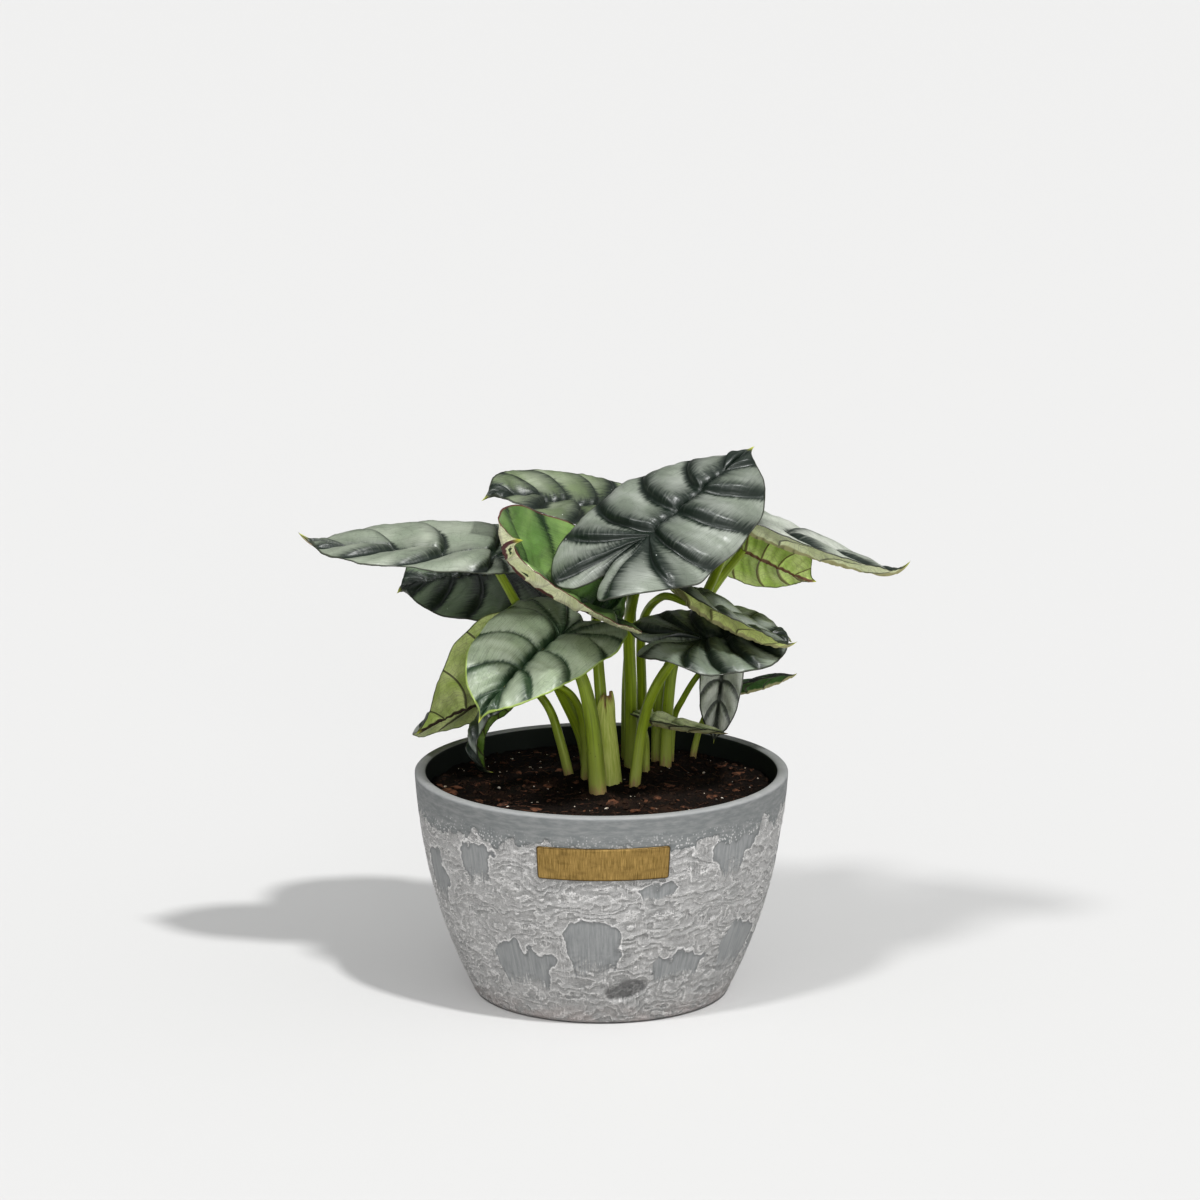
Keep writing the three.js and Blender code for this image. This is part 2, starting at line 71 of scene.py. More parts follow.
# Detail that only the looks have
BLADE_THICKNESS = 0.7
BLADE_GRID = (20, 40)  # rows of faces in each cell between veins, and from the rib to the margin
SMALL_BLADE_GRID = (8, 18)
RIB_RIDGE = 1.3  # height of the rib under the blade
VEIN_RIDGE = 0.45  # height of the other veins there
RIB_GROOVE = 0.5  # depth of the groove over the rib
PETIOLE_GAP = 0.45  # from a petiole's top to the middle of its blade's thickness
PETIOLE_GRID = (72, 22)  # rings of points, and points in each
RELIEF = 0.34  # height of a pillow, as a share of the distance between its two veins
RELIEF_MOST = 7
RIPPLE = 0.32  # height of the low ridges that follow the veins
SCALLOP = 0.028  # how far the margin swells between veins, as a share of the blade
TIP_START = 0.78  # share of the front from which the tip turns
CUP_STEPS = 16  # steps in which the curve across a half is added up
SIDE_ROWS = 158  # rows of faces up the pot's side
SIDE_COLUMNS = 480
LIP_ROWS = 11
LIP = 1.8  # height of the rounded lip
LIP_FOOT = POT_HEIGHT - LIP
LEDGE = 7.5  # height from one ledge of the glaze to the next
LEDGE_DEPTH = 0.75
PATCH_DEPTH = 0.55
DENT_DEPTH = 2.2
BAND_FOOT = 101  # height at which the plain band under the rim starts
PLATE_CORNER = 1.4
PLATE_REACH = 97  # distance from the pot's middle, for the brush marks
PLATE_FRONT = 1.18  # the plate's two faces, measured from the pot's side
PLATE_BACK = 0.3
SOIL_BANK = 1.5  # how far the soil rises round the foot of a petiole
SHEATH_THICKNESS = 0.7

# Smooth patches in the pot's rough glaze: the middle's place round the pot from its front, the height of the
# top edge, the width and the depth to which it fades
GIRTH = 628
PATCHES = [
    (-6, 63, 38, 38), (-53, 46, 52, 30), (-76, 102, 30, 26), (80, 106, 34, 26), (98, 50, 46, 34),
    (-118, 88, 24, 34), (50, 42, 44, 22), (-40, 117, 12, 9), (30, 82, 22, 9), (150, 96, 34, 30),
    (-165, 60, 44, 34), (195, 66, 40, 36), (-215, 100, 32, 26), (240, 98, 40, 28), (-270, 58, 50, 36),
    (290, 54, 44, 34), (135, 40, 30, 20), (-240, 34, 34, 18),
]
DENT = (17, 21, 15, 7)  # an oval dent: its middle, as above, and its half width and half height

# Lights: name, direction towards it, power, and its apparent width in degrees
SUNS = [
    ("key", (0.33, -0.42, 0.84), 1.9, 4),
    ("fill", (-0.4, -0.5, 0.77), 1.25, 8),
    ("front", (0.1, -1, 0.2), 0.55, 25),
]
SKY_COLOUR = (0.98, 0.99, 1)
SKY_DIM = 0.08
SKY_BRIGHT = 0.55
GROUND_COLOUR = (0.6, 0.597, 0.592)

# Camera
LENS = 165
SENSOR = 36
PITCH = 13.2  # degrees that it looks down
DISTANCE = 2922
TARGET = (-0.75, 0, 213.8)

# The leaves. at: where the petiole meets the blade. heading, pitch and roll, in degrees, turn the rib from
# +X about Z, lift it, and tip the upper face to the leaf's right. front and rear: length of the blade ahead
# of and behind that point. half: half its width. bend and tip: how far the rib turns up along its front and
# at its end. droop: how far the rear lobes hang. fold and cup, left and right: how far each half rises from
# the rib at once, and by its margin. pinch: more fold at the tip. flare: more fold at the rear. lobes:
# length of each rear lobe, as a share of rear. radius: of the petiole at its foot and its top. foot and via:
# where it starts, and the points that it passes.
PLAIN = dict(bend=0, tip=0, droop=0, fold=[10, 10], cup=[0, 0], pinch=0, flare=[0, 0], lobes=[1, 1])
LEAVES = {
    "top": dict(
        at=[25, -54, 261], heading=42, pitch=27, roll=25, front=84, rear=51, half=42, bend=-1, tip=-4,
        droop=15, fold=[-13, 16], cup=[-2, -47], pinch=-14, flare=[-1, 33], lobes=[1.03, 1.01],
        radius=[4.2, 2.6], foot=[16, 32], via=[[16, 27, 152], [15, 14, 197], [19, -28, 231]],
    ),
    "upper_left": dict(
        at=[-1, 34, 255], heading=-154, pitch=11, roll=-8, front=72, rear=44, half=35, bend=8, tip=-49,
        droop=1, fold=[3, 15], cup=[-7, 0], pinch=-2, flare=[0, -1], radius=[3.4, 2.2], foot=[14, 46],
        via=[[14, 46, 153], [16, 43, 199], [12, 40, 228]],
    ),
    "far_left": dict(
        at=[-58, -2, 236], heading=-184, pitch=3, roll=-4, front=106, rear=40, half=37, tip=44,
        fold=[14, 16], cup=[-21, -4], pinch=-7, flare=[-1, 0], lobes=[0.6, 1.0], radius=[4, 2.3],
        foot=[-6, 24], via=[[-10, 22, 131], [-24, 13, 165], [-43, 7, 206]],
    ),
    "left": dict(
        at=[-51, 60, 214], heading=-170, pitch=2, roll=-19, front=62, rear=42, half=41, bend=-16, tip=-28,
        fold=[-4, 9], cup=[-8, -12], pinch=2, radius=[3.4, 2.2], foot=[-2, 38],
        via=[[-7, 38, 147], [-19, 45, 178], [-39, 55, 202]],
    ),
    "rolled": dict(
        at=[-3, -26, 212], heading=-164, pitch=21, roll=-57, front=105, rear=22, half=46, bend=71, tip=63,
        fold=[56, -20], cup=[21, 55], lobes=[0.8, 0.8], radius=[3.6, 2.4], foot=[5, 2],
        via=[[0, 7, 155], [-2, 12, 181], [-3, 12, 202]],
    ),
    "front": dict(
        at=[-22, -19, 198], heading=-126, pitch=-10, roll=-13, front=75, rear=35, half=33, bend=-34,
        tip=-11, droop=14, fold=[9, 17], cup=[-15, -10], pinch=8, flare=[9, 0], lobes=[0.85, 0.82],
        radius=[5.2, 2.7], foot=[-1, -14], via=[[-4, -15, 141], [-8, -16, 167], [-15, -17, 186]],
    ),
    "low_left": dict(
        at=[-47, 28, 157], heading=-152, pitch=-9, roll=51, front=64, rear=24, half=55, bend=-14,
        fold=[3, 29], cup=[51, -20], lobes=[0.6, 0.8], radius=[2.8, 2], foot=[-14, 20],
        via=[[-22, 20, 131], [-28, 24, 148], [-37, 27, 158]],
    ),
    "drooping": dict(
        at=[-60, -5, 158], heading=180, pitch=-31, roll=15, front=48, rear=12, half=14, bend=-125, tip=-28,
        fold=[-33, -36], cup=[0, -1], pinch=2, radius=[2.6, 1.5], foot=[-9, 10],
        via=[[-9, 9, 137], [-15, 5, 159], [-30, -1, 169], [-45, -4, 166]],
    ),
    "right": dict(
        at=[54, -15, 196], heading=12, pitch=2, roll=14, front=50, rear=37, half=38, bend=-7, tip=-36,
        droop=4, fold=[4, 1], cup=[-14, -10], pinch=3, flare=[-2, 15], lobes=[0.99, 1.06],
        radius=[3.6, 2.4], foot=[16, -3], via=[[21, -2, 141], [28, -6, 166], [41, -12, 187]],
    ),
    "narrow_right": dict(
        at=[46, -8, 214], heading=-35, pitch=-28, roll=-25, front=68, rear=20, half=26, bend=27, tip=39,
        droop=8, fold=[19, 20], cup=[12, -16], pinch=-1, flare=[-9, 0], lobes=[0.99, 1.0],
        radius=[3.2, 1.9], foot=[21, 60], via=[[22, 52, 146], [22, 32, 192], [32, 10, 213]],
    ),
    "back_right": dict(
        at=[77, 54, 229], heading=-9, pitch=-26, roll=-48, front=43, rear=32, half=33, bend=4, tip=25,
        fold=[8, 10], cup=[-9, -49], pinch=16, radius=[3.2, 2.2], foot=[30, 52],
        via=[[32, 52, 151], [47, 54, 184], [62, 56, 209]],
    ),
    "far_right": dict(
        at=[72, 8, 252], heading=-4, pitch=-25, roll=-8, front=99, rear=42, half=30, bend=17, tip=59,
        fold=[19, 19], cup=[3, -10], pinch=-3, radius=[3.8, 2.4], foot=[34, 38],
        via=[[36, 38, 149], [41, 36, 178], [55, 26, 209]],
    ),
    "hanging": dict(
        at=[66, 45, 170], heading=-124, pitch=-78, roll=-38, front=46, rear=15, half=13, bend=2, tip=-1,
        fold=[27, 24], cup=[0, -1], pinch=8, radius=[2, 1.5], foot=[37, 50],
        via=[[39, 50, 133], [44, 48, 147], [54, 46, 163]],
    ),
    "slim_right": dict(
        at=[70, 58, 148], heading=-11, pitch=9, roll=-10, front=39, rear=14, half=12, bend=20, tip=6,
        fold=[28, 19], cup=[8, 0], pinch=1, radius=[2.2, 1.5], foot=[48, 61],
        via=[[51, 60, 118], [55, 60, 131], [62, 59, 144]],
    ),
    "low_right": dict(
        at=[27, 15, 143], heading=-11, pitch=-14, roll=-7, front=42, rear=12, half=10, bend=18, tip=-7,
        droop=-1, fold=[19, 17], cup=[3, 0], pinch=4, flare=[4, 0], radius=[2.2, 1.6], foot=[24, 20],
        via=[[24, 19, 129], [23, 17, 139]],
    ),
}
LEAVES = {name: dict(PLAIN, **leaf) for name, leaf in LEAVES.items()}
SHEATHED = "rolled"
SMALL = ("drooping", "hanging", "slim_right", "low_right")

# The flat half blade, as shares of half, front and rear. MARGIN runs from the tip to the notch between the
# lobes, with a vein's end at every second row. RIB is where the veins leave the rib, and PULL bends them.
MARGIN = np.array([
    [0, 1], [0.07, 0.93], [0.24, 0.88], [0.46, 0.82], [0.66, 0.73], [0.82, 0.6], [0.93, 0.44],
    [0.985, 0.26], [1, 0.06], [1, -0.18], [0.96, -0.46], [0.83, -0.77], [0.56, -0.985],
    [0.22, -0.93], [0, -0.6],
])
RIB = np.array([[0, 0.9], [0, 0.7], [0, 0.48], [0, 0.25], [0, 0.04], [0, 0], [0, 0], [0, 0]])
PULL = np.array([
    [0, 0.95], [0.16, 0.8], [0.36, 0.5], [0.58, 0.2], [0.62, -0.14], [0.48, -0.45],
    [0.18, -0.62], [0, -0.3],
])
CELLS = len(RIB) - 1

# What each blade looks like. reach: how far the dark zone spreads from a vein. back_veins: how strongly the
# veins colour the underside.
SILVER_LOOK = dict(
    silver=(0.34, 0.37, 0.33), silver_2=(0.23, 0.27, 0.21), dark=(0.006, 0.014, 0.008), reach=8,
    gloss=0.3, edge=(0.03, 0.035, 0.02), apex=(0.42, 0.45, 0.06), back=(0.27, 0.34, 0.14),
    back_2=(0.2, 0.28, 0.08), back_vein=(0.05, 0.03, 0.02), back_rib=(0.4, 0.38, 0.2), back_veins=0.8,
)
# The pale undersides of rolled, low_left, narrow_right, back_right and far_right, and the pale silver of
# hanging, are partly painted light: their colours are raised to stand in for light shining through or
# falling on those blades.
LOOKS = {
    "top": dict(silver=(0.34, 0.365, 0.32), silver_2=(0.2, 0.23, 0.18), reach=9),
    "upper_left": dict(
        silver=(0.29, 0.33, 0.23), silver_2=(0.16, 0.21, 0.1), reach=9, back=(0.22, 0.36, 0.06),
        back_2=(0.3, 0.4, 0.08),
    ),
    "far_left": dict(
        silver=(0.33, 0.36, 0.29), silver_2=(0.24, 0.28, 0.21), reach=5, back=(0.42, 0.47, 0.3),
        back_2=(0.34, 0.42, 0.24), back_vein=(0.08, 0.1, 0.06), back_rib=(0.5, 0.42, 0.3),
    ),
    "left": dict(silver=(0.24, 0.31, 0.2), silver_2=(0.15, 0.21, 0.12)),
    # Pale underside: partly painted light shining through the blade.
    "rolled": dict(
        silver=(0.26, 0.4, 0.13), silver_2=(0.11, 0.22, 0.05), dark=(0.012, 0.04, 0.01), reach=9,
        gloss=0.25, back_veins=0.25, back=(0.85, 0.86, 0.6), back_2=(0.72, 0.76, 0.44),
        back_vein=(0.12, 0.03, 0.03), back_rib=(0.1, 0.03, 0.03), edge=(0.12, 0.03, 0.03),
    ),
    "front": dict(
        silver=(0.36, 0.41, 0.31), silver_2=(0.28, 0.34, 0.23), dark=(0.02, 0.045, 0.02), reach=5,
        edge=(0.3, 0.4, 0.08),
    ),
    # Pale underside: partly painted light shining through the blade.
    "low_left": dict(
        back=(0.8, 0.88, 0.42), back_2=(0.56, 0.7, 0.2), back_vein=(0.03, 0.015, 0.02),
        back_rib=(0.06, 0.04, 0.03),
    ),
    "drooping": dict(back=(0.12, 0.22, 0.03), back_2=(0.2, 0.3, 0.06)),
    "right": dict(silver=(0.36, 0.4, 0.34), silver_2=(0.22, 0.27, 0.21), reach=7),
    # Pale underside: partly painted light shining through the blade.
    "narrow_right": dict(back=(0.75, 0.8, 0.36), back_2=(0.6, 0.68, 0.24), back_vein=(0.12, 0.1, 0.05)),
    # Pale underside: partly painted light shining through the blade.
    "back_right": dict(
        back=(0.72, 0.84, 0.34), back_2=(0.5, 0.68, 0.16), back_vein=(0.1, 0.05, 0.02),
        back_rib=(0.16, 0.08, 0.04),
    ),
    # Pale underside: partly painted light shining through the blade.
    "far_right": dict(
        silver=(0.5, 0.52, 0.46), silver_2=(0.4, 0.44, 0.36), back=(0.82, 0.85, 0.6),
        back_2=(0.7, 0.76, 0.44), back_vein=(0.1, 0.1, 0.06),
    ),
    # Pale silver: partly painted light falling on this upright blade.
    "hanging": dict(
        silver=(0.7, 0.72, 0.64), silver_2=(0.46, 0.5, 0.42), dark=(0.06, 0.07, 0.055), reach=2,
        back=(0.05, 0.1, 0.04), back_2=(0.03, 0.07, 0.03),
    ),
    "slim_right": dict(
        silver=(0.1, 0.2, 0.1), silver_2=(0.07, 0.15, 0.06), back=(0.05, 0.13, 0.03),
        back_2=(0.08, 0.16, 0.04),
    ),
    "low_right": dict(
        silver=(0.8, 0.84, 0.56), silver_2=(0.64, 0.7, 0.4), dark=(0.2, 0.26, 0.1), reach=1,
        back=(0.6, 0.62, 0.38), back_2=(0.35, 0.38, 0.2), apex=(0.4, 0.2, 0.1),
    ),
}
GLINT = (0.75, 0.78, 0.74)
PETIOLE_GREEN = (0.22, 0.29, 0.018)
PETIOLE_PALE = (0.5, 0.56, 0.16)


# Numbers and noise

def smooth(x):
    x = np.clip(x, 0, 1)
    return x * x * (3 - 2 * x)


def table_at(table, at):
    """A point of the smooth curve through a table's rows."""
    last = len(table) - 1
    i = np.minimum(np.floor(at).astype(int), last - 1)
    f = (at - i)[..., None]
    before, here = table[np.maximum(i - 1, 0)], table[i]
    there, after = table[i + 1], table[np.minimum(i + 2, last)]
    slope = there - before
    square = 2 * before - 5 * here + 4 * there - after
    cube = 3 * here - before - 3 * there + after
    return 0.5 * (2 * here + slope * f + square * f**2 + cube * f**3)


def noise(points, seed):
    """Smooth noise from 0 to 1, from a random lattice that repeats every 64 cells."""
    lattice = np.random.default_rng(seed).random((64, 64, 64))
    cell = np.floor(points).astype(int)
    f = points - cell
    f = f * f * (3 - 2 * f)
    total = np.zeros(points.shape[:-1])
    for corner in np.ndindex(2, 2, 2):
        weight = np.prod(np.where(np.array(corner) == 1, f, 1 - f), axis=-1)
        at = (cell + corner) % 64
        total += weight * lattice[at[..., 0], at[..., 1], at[..., 2]]
    return total


def layered(points, seed, layers=4):
    """Noise with finer and weaker layers on it, from 0 to 1."""
    total, weight, size = 0, 1, 0
    for k in range(layers):
        total = total + weight * noise(points * 2**k, seed + k)
        size += weight
        weight /= 2
    return total / size


def unit(vectors):
    return vectors / np.linalg.norm(vectors, axis=-1)[..., None]


def sampled(at, known, rows):
    """The rows of a table at places between the known ones."""
    return np.stack([np.interp(at, known, column) for column in rows.T], -1)


def full_turn(count):
    """Angles spread evenly over a full turn."""
    return np.linspace(0, 2 * np.pi, count, endpoint=False)


def toned(colour, share):
    return tuple(share * c for c in colour)


# Meshes

def add_object(name, data):
    made = bpy.data.objects.new(name, data)
    bpy.context.scene.collection.objects.link(made)
    return made


def make_piece(name, vertices, faces, materials, attributes=None, slots=None, smooth_shade=True):
    """A mesh object from points in millimetres, with values at each and a material index for each face."""
    vertices = np.reshape(vertices, (-1, 3))
    mesh = bpy.data.meshes.new(name)
    mesh.from_pydata((vertices * MM).tolist(), [], [list(f) for f in faces])
    for material in materials:
        mesh.materials.append(material)
    for key, values in (attributes or {}).items():
        kind, field = ("FLOAT", "value") if values.size == len(vertices) else ("FLOAT_VECTOR", "vector")
        target = mesh.attributes.new(key, kind, "POINT")
        target.data.foreach_set(field, values.astype(np.float32).ravel())
    if slots is not None:
        mesh.polygons.foreach_set("material_index", np.asarray(slots, dtype=np.int32))
    mesh.polygons.foreach_set("use_smooth", np.full(len(mesh.polygons), smooth_shade))
    mesh.update()
    return add_object(name, mesh)


def place(piece, slot, *nodes):
    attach(piece, "root")
    if nodes:
        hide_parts(*nodes)


def grid_faces(rows, columns, wrap=False, start=0):
    """The quads of a grid with rows x columns vertices, joined round its columns if wrap is set."""
    i = np.arange(rows - 1)[:, None]
    j = np.arange(columns if wrap else columns - 1)[None, :]
    k = (j + 1) % columns
    corners = [i * columns + j, i * columns + k, (i + 1) * columns + k, (i + 1) * columns + j]
    return start + np.stack(corners, -1).reshape(-1, 4)


def shell_piece(name, outer, inner, material, values):
    """A thin closed piece from two grids of points, joined round their border."""
    rows, columns = outer.shape[:2]
    count = rows * columns
    loop = np.concatenate([
        np.arange(columns),
        np.arange(1, rows) * columns + columns - 1,
        (rows - 1) * columns + np.arange(columns - 2, -1, -1),
        np.arange(rows - 2, 0, -1) * columns,
    ])
    after = np.roll(loop, -1)
    rim = np.stack([after, loop, loop + count, after + count], -1)
    skins = [grid_faces(rows, columns), grid_faces(rows, columns, start=count)[:, ::-1]]
    values = {key: np.concatenate([v, v]) for key, v in values.items()}
    return make_piece(name, [outer, inner], np.concatenate([*skins, rim]), [material], values)


def weld(piece, distance):
    """Joins vertices that lie within a distance, in millimetres."""
    bpy.context.view_layer.objects.active = piece
    modifier = piece.modifiers.new("weld", "WELD")
    modifier.merge_threshold = distance * MM
    bpy.ops.object.modifier_apply(modifier=modifier.name)
    return piece


# Materials

class Value:
    """One output of a node. Arithmetic with it makes further nodes."""

    def __init__(self, graph, socket):
        self.graph, self.socket = graph, socket

    def __add__(self, other):
        return self.graph.math("ADD", self, other)

    def __sub__(self, other):
        return self.graph.math("SUBTRACT", self, other)

    def __rsub__(self, other):
        return self.graph.math("SUBTRACT", other, self)

    def __mul__(self, other):
        return self.graph.math("MULTIPLY", self, other)

    def __truediv__(self, other):
        return self.graph.math("DIVIDE", self, other)

    def __pow__(self, other):
        return self.graph.math("POWER", self, other)


class Graph:
    """A tree of nodes. Each method makes a node and gives its output."""

    def __init__(self, tree):
        self.tree = tree

    def feed(self, socket, value):
        if isinstance(value, Value):
            self.tree.links.new(value.socket, socket)
        elif socket.type == "RGBA":
            socket.default_value = (*value, 1)
        else:
            socket.default_value = value

    def node(self, kind, values=(), output=0, **settings):
        """Any node, with values for its inputs by their number or name."""
        node = self.tree.nodes.new("ShaderNode" + kind)
        for key, setting in settings.items():
            setattr(node, key, setting)
        for key, value in dict(values).items():
            self.feed(node.inputs[key], value)
        return Value(self, node.outputs[output])

    def math(self, operation, *values):
        return self.node("Math", enumerate(values), operation=operation)

    def mix(self, share, first, second):
        return self.node("Mix", {0: share, 6: first, 7: second}, 2, data_type="RGBA")

    def over(self, colour, *coats):
        """Lays further colours over one, each with the share that it covers."""
        for share, coat in coats:
            colour = self.mix(share, colour, coat)
        return colour

    def number(self, name, output="Fac"):
        """A number that each vertex keeps under a name."""
        return self.node("Attribute", output=output, attribute_name=name)

    def vector(self, name):
        return self.number(name, "Vector")

    def scaled(self, vector, factors):
        return self.node("VectorMath", {0: vector, 1: factors}, operation="MULTIPLY")

    def noise(self, vector, factors, detail=2, roughness=0.5, output="Fac"):
        values = dict(Vector=self.scaled(vector, factors), Scale=1, Detail=detail, Roughness=roughness)
        return self.node("TexNoise", values, output)

    def cells(self, vector, factors, feature="F1", output="Distance"):
        values = dict(Vector=self.scaled(vector, factors), Scale=1)
        return self.node("TexVoronoi", values, output, feature=feature)

    def ramp(self, value, low, high, to_low=0, to_high=1):
        values = enumerate((value, low, high, to_low, to_high))
        return self.node("MapRange", values, interpolation_type="SMOOTHSTEP")


class Material(Graph):
    """A material's nodes. Names of shader inputs have underscores for spaces."""

    def __init__(self, name, **constants):
        self.material = bpy.data.materials.new(name)
        self.material.use_nodes = True
        super().__init__(self.material.node_tree)
        self.shader = self.tree.nodes["Principled BSDF"]
        self.to_shader(**constants)

    def to_shader(self, **values):
        for key, value in values.items():
            self.feed(self.shader.inputs[key.replace("_", " ")], value)

    def finished(self, colour, height, strength, distance, **others):
        """The material with its colour, and with fine relief from a height."""
        bump = self.node("Bump", dict(Strength=strength, Distance=distance * MM, Height=height))
        self.to_shader(Base_Color=colour, Normal=bump, **others)
        return self.material


def any_of(*shares):
    """The share covered by at least one of several masks."""
    clear = 1 - shares[0]
    for share in shares[1:]:
        clear = clear * (1 - share)
    return 1 - clear


def feathered(g, distance, reach, strand, hair):
    """A dark zone along a vein, partly the vein's own colour and partly painted shade, that fades outwards
    and breaks up into strands and hairs.
    """
    ragged = (strand - 0.5) * 1.5 + (hair - 0.5) * 0.9
    return g.ramp(distance / reach + ragged, 0.15, 1, 1, 0)


# Leaves

def blade_top_material(name, look):
    """Silver pillows between dark green sunken veins that feather into them, their dark partly painted shade
    on the pillows' slopes.
    """
    g = Material(name, Coat_Weight=0.3, Coat_Roughness=0.3)
    strand_at, flat = g.vector("strand"), g.vector("flat")
    strand = g.noise(strand_at, (1.1, 0.75, 1), 3, 0.62)
    hair = g.noise(strand_at, (2, 2.1, 1), roughness=0.55)
    rib_strand = g.noise(flat, (0.22, 0.9, 1), 3, 0.6)
    broad = g.noise(flat, (0.05, 0.05, 1))
    reach, gloss = look["reach"], look["gloss"]
    basal, rib = g.number("basal"), g.number("rib")
    nearest = g.math("MINIMUM", basal, rib)
    # The veins' dark green, partly painted shade: it spreads furthest from the vein at each pillow's rear,
    # over that pillow's steep slope, and fades broadly over the pillows.
    dark = any_of(
        feathered(g, basal, reach, strand, hair),
        feathered(g, g.number("apical"), reach * 0.5, strand, hair),
        feathered(g, rib, reach * 0.9, rib_strand, hair),
        g.ramp(nearest, 0.3, 1.2, 0.9, 0),
        g.ramp(nearest, 0, 2.2 * reach, 0.6, 0),
    )
    shift = g.scaled(g.noise(flat, (0.3, 0.3, 1), output="Color"), (5, 5, 0))
    wavy = g.node("VectorMath", {0: flat, 1: shift}, operation="ADD")
    net = g.ramp(g.cells(wavy, (0.2, 0.3, 1), "DISTANCE_TO_EDGE"), 0, 0.05, 1, 0)
    net = net * g.ramp(broad, 0.35, 0.65, 0.12, 0.4)
    spots = (0.16, 0.16, 1)
    glint = g.ramp(g.cells(flat, spots), 0.03, 0.055, 1, 0)
    glint = glint * g.ramp(g.cells(flat, spots, output="Color"), 0.62, 0.64)
    colour = g.over(
        look["silver"],
        (g.ramp(broad, 0.3, 0.7), look["silver_2"]),
        (g.ramp(hair, 0.4, 0.75, 0, 0.6), toned(look["silver"], 0.42)),
        (net, toned(look["silver"], 0.35)),
        (dark, look["dark"]),
        (glint, GLINT),
        (g.ramp(g.number("edge"), 0.5, 1, 0.85, 0), look["edge"]),
        (g.number("apex"), look["apex"]),
    )
    relief = hair * 0.6 + strand * 0.6 - net * 0.25
    return g.finished(colour, relief, 0.55, 0.5, Roughness=g.ramp(hair, 0.2, 0.8, gloss, gloss + 0.18))


def blade_back_material(name, look):
    """The underside: paler green with raised dark veins and a fine net."""
    g = Material(name, Roughness=0.5, Specular_IOR_Level=0.35)
    flat = g.vector("flat")
    broad = g.noise(flat, (0.06, 0.06, 1), 3)
    strand = g.noise(g.vector("strand"), (1.2, 0.8, 1))
    nearest = g.math("MINIMUM", g.number("basal"), g.number("apical"))
    net = g.ramp(g.cells(flat, (0.34, 0.34, 1), "DISTANCE_TO_EDGE"), 0, 0.07, 1, 0)
    colour = g.over(
        look["back"],
        (g.ramp(broad, 0.3, 0.7), look["back_2"]),
        (g.ramp(strand, 0.4, 0.8, 0, 0.4), toned(look["back"], 0.5)),
        (net * 0.35, toned(look["back"], 0.35)),
        (g.ramp(nearest, 0.3, 0.7, look["back_veins"], 0), look["back_vein"]),
        (g.ramp(g.number("rib"), 0.7, 1.2, 1, 0), look["back_rib"]),
        (g.ramp(g.number("edge"), 0.4, 0.9, 0.7, 0), look["edge"]),
        (g.number("apex"), look["apex"]),
    )
    return g.finished(colour, strand - net * 0.4, 0.3, 0.4)


def blade_axes(leaf):
    """Ahead along the rib, up through the upper face and to the right, where the petiole meets the blade."""
    heading, pitch, roll = (math.radians(leaf[k]) for k in ("heading", "pitch", "roll"))
    level_ahead = np.array([math.cos(heading), math.sin(heading), 0])
    ahead = math.cos(pitch) * level_ahead + [0, 0, math.sin(pitch)]
    level_up = -math.sin(pitch) * level_ahead + [0, 0, math.cos(pitch)]
    level_right = np.cross(ahead, level_up)
    up = math.cos(roll) * level_up + math.sin(roll) * level_right
    return ahead, up, np.cross(ahead, up)


def rib_curve(leaf, along):
    """The rib's points and its up directions at lengths along it."""
    ahead, up, right = blade_axes(leaf)
    reach = np.linspace(-leaf["rear"] * max(leaf["lobes"]) - 1, leaf["front"] + 1, 400)
    share = reach / np.where(reach < 0, leaf["rear"], leaf["front"])
    tip_turn = np.radians(leaf["tip"]) * smooth((share - TIP_START) / (1 - TIP_START))
    front_turn = np.radians(leaf["bend"]) * share + tip_turn
    turn = np.where(reach < 0, np.radians(leaf["droop"]) * np.abs(share) ** 1.2, front_turn)
    direction = np.cos(turn)[:, None] * ahead + np.sin(turn)[:, None] * up
    step = reach[1] - reach[0]
    points = np.concatenate([[np.zeros(3)], np.cumsum((direction[1:] + direction[:-1]) / 2 * step, 0)])
    points += leaf["at"] - sampled(0, reach, points)
    return sampled(along, reach, points), sampled(along, reach, np.cross(right, direction)), right


def flat_points(leaf, side, station, out):
    """Points of the flat half blade: across, as shares of its half width, and along, as lengths. station
    counts the cells from the tip to the notch, and out runs from the rib to the margin."""
    rib, pull, margin = table_at(RIB, station), table_at(PULL, station), table_at(MARGIN, 2 * station)
    swell = 1 + SCALLOP * (np.sin(np.pi * station) ** 2 - 0.5) * smooth(out * 2 - 1)
    t = out[..., None]
    point = (1 - t) ** 2 * rib + 2 * t * (1 - t) * pull + t**2 * margin
    across = np.maximum(point[..., 0], 0) * swell
    lobe = 1 + (leaf["lobes"][int(side > 0)] - 1) * smooth(across / 0.3)
    along = point[..., 1]
    along = np.where(along > 0, along * leaf["front"], along * leaf["rear"] * lobe)
    return across, along


def bent_half(leaf, side, across, along):
    """The folded and cupped half blade: its points and normals."""
    middle, up, right = rib_curve(leaf, along)
    hand, half = int(side > 0), leaf["half"]
    fold = np.radians(
        leaf["fold"][hand]
        + leaf["pinch"] * smooth((along / leaf["front"] - 0.2) / 0.8)
        + leaf["flare"][hand] * smooth(-along / leaf["rear"])
    )
    cup = np.radians(leaf["cup"][hand])
    sideways, rise = 0, 0
    for k in range(CUP_STEPS):
        slope = fold + cup * (across * (k + 0.5) / CUP_STEPS) ** 1.5
        sideways = sideways + np.cos(slope) * across * half / CUP_STEPS
        rise = rise + np.sin(slope) * across * half / CUP_STEPS
    slope = (fold + cup * across**1.5)[..., None]
    normal = np.cos(slope) * up - side * np.sin(slope) * right
    points = middle + side * sideways[..., None] * right + rise[..., None] * up
    at_rib = np.exp(-((across * half / 2) ** 2))[..., None]
    return points, unit(at_rib * up + (1 - at_rib) * normal)


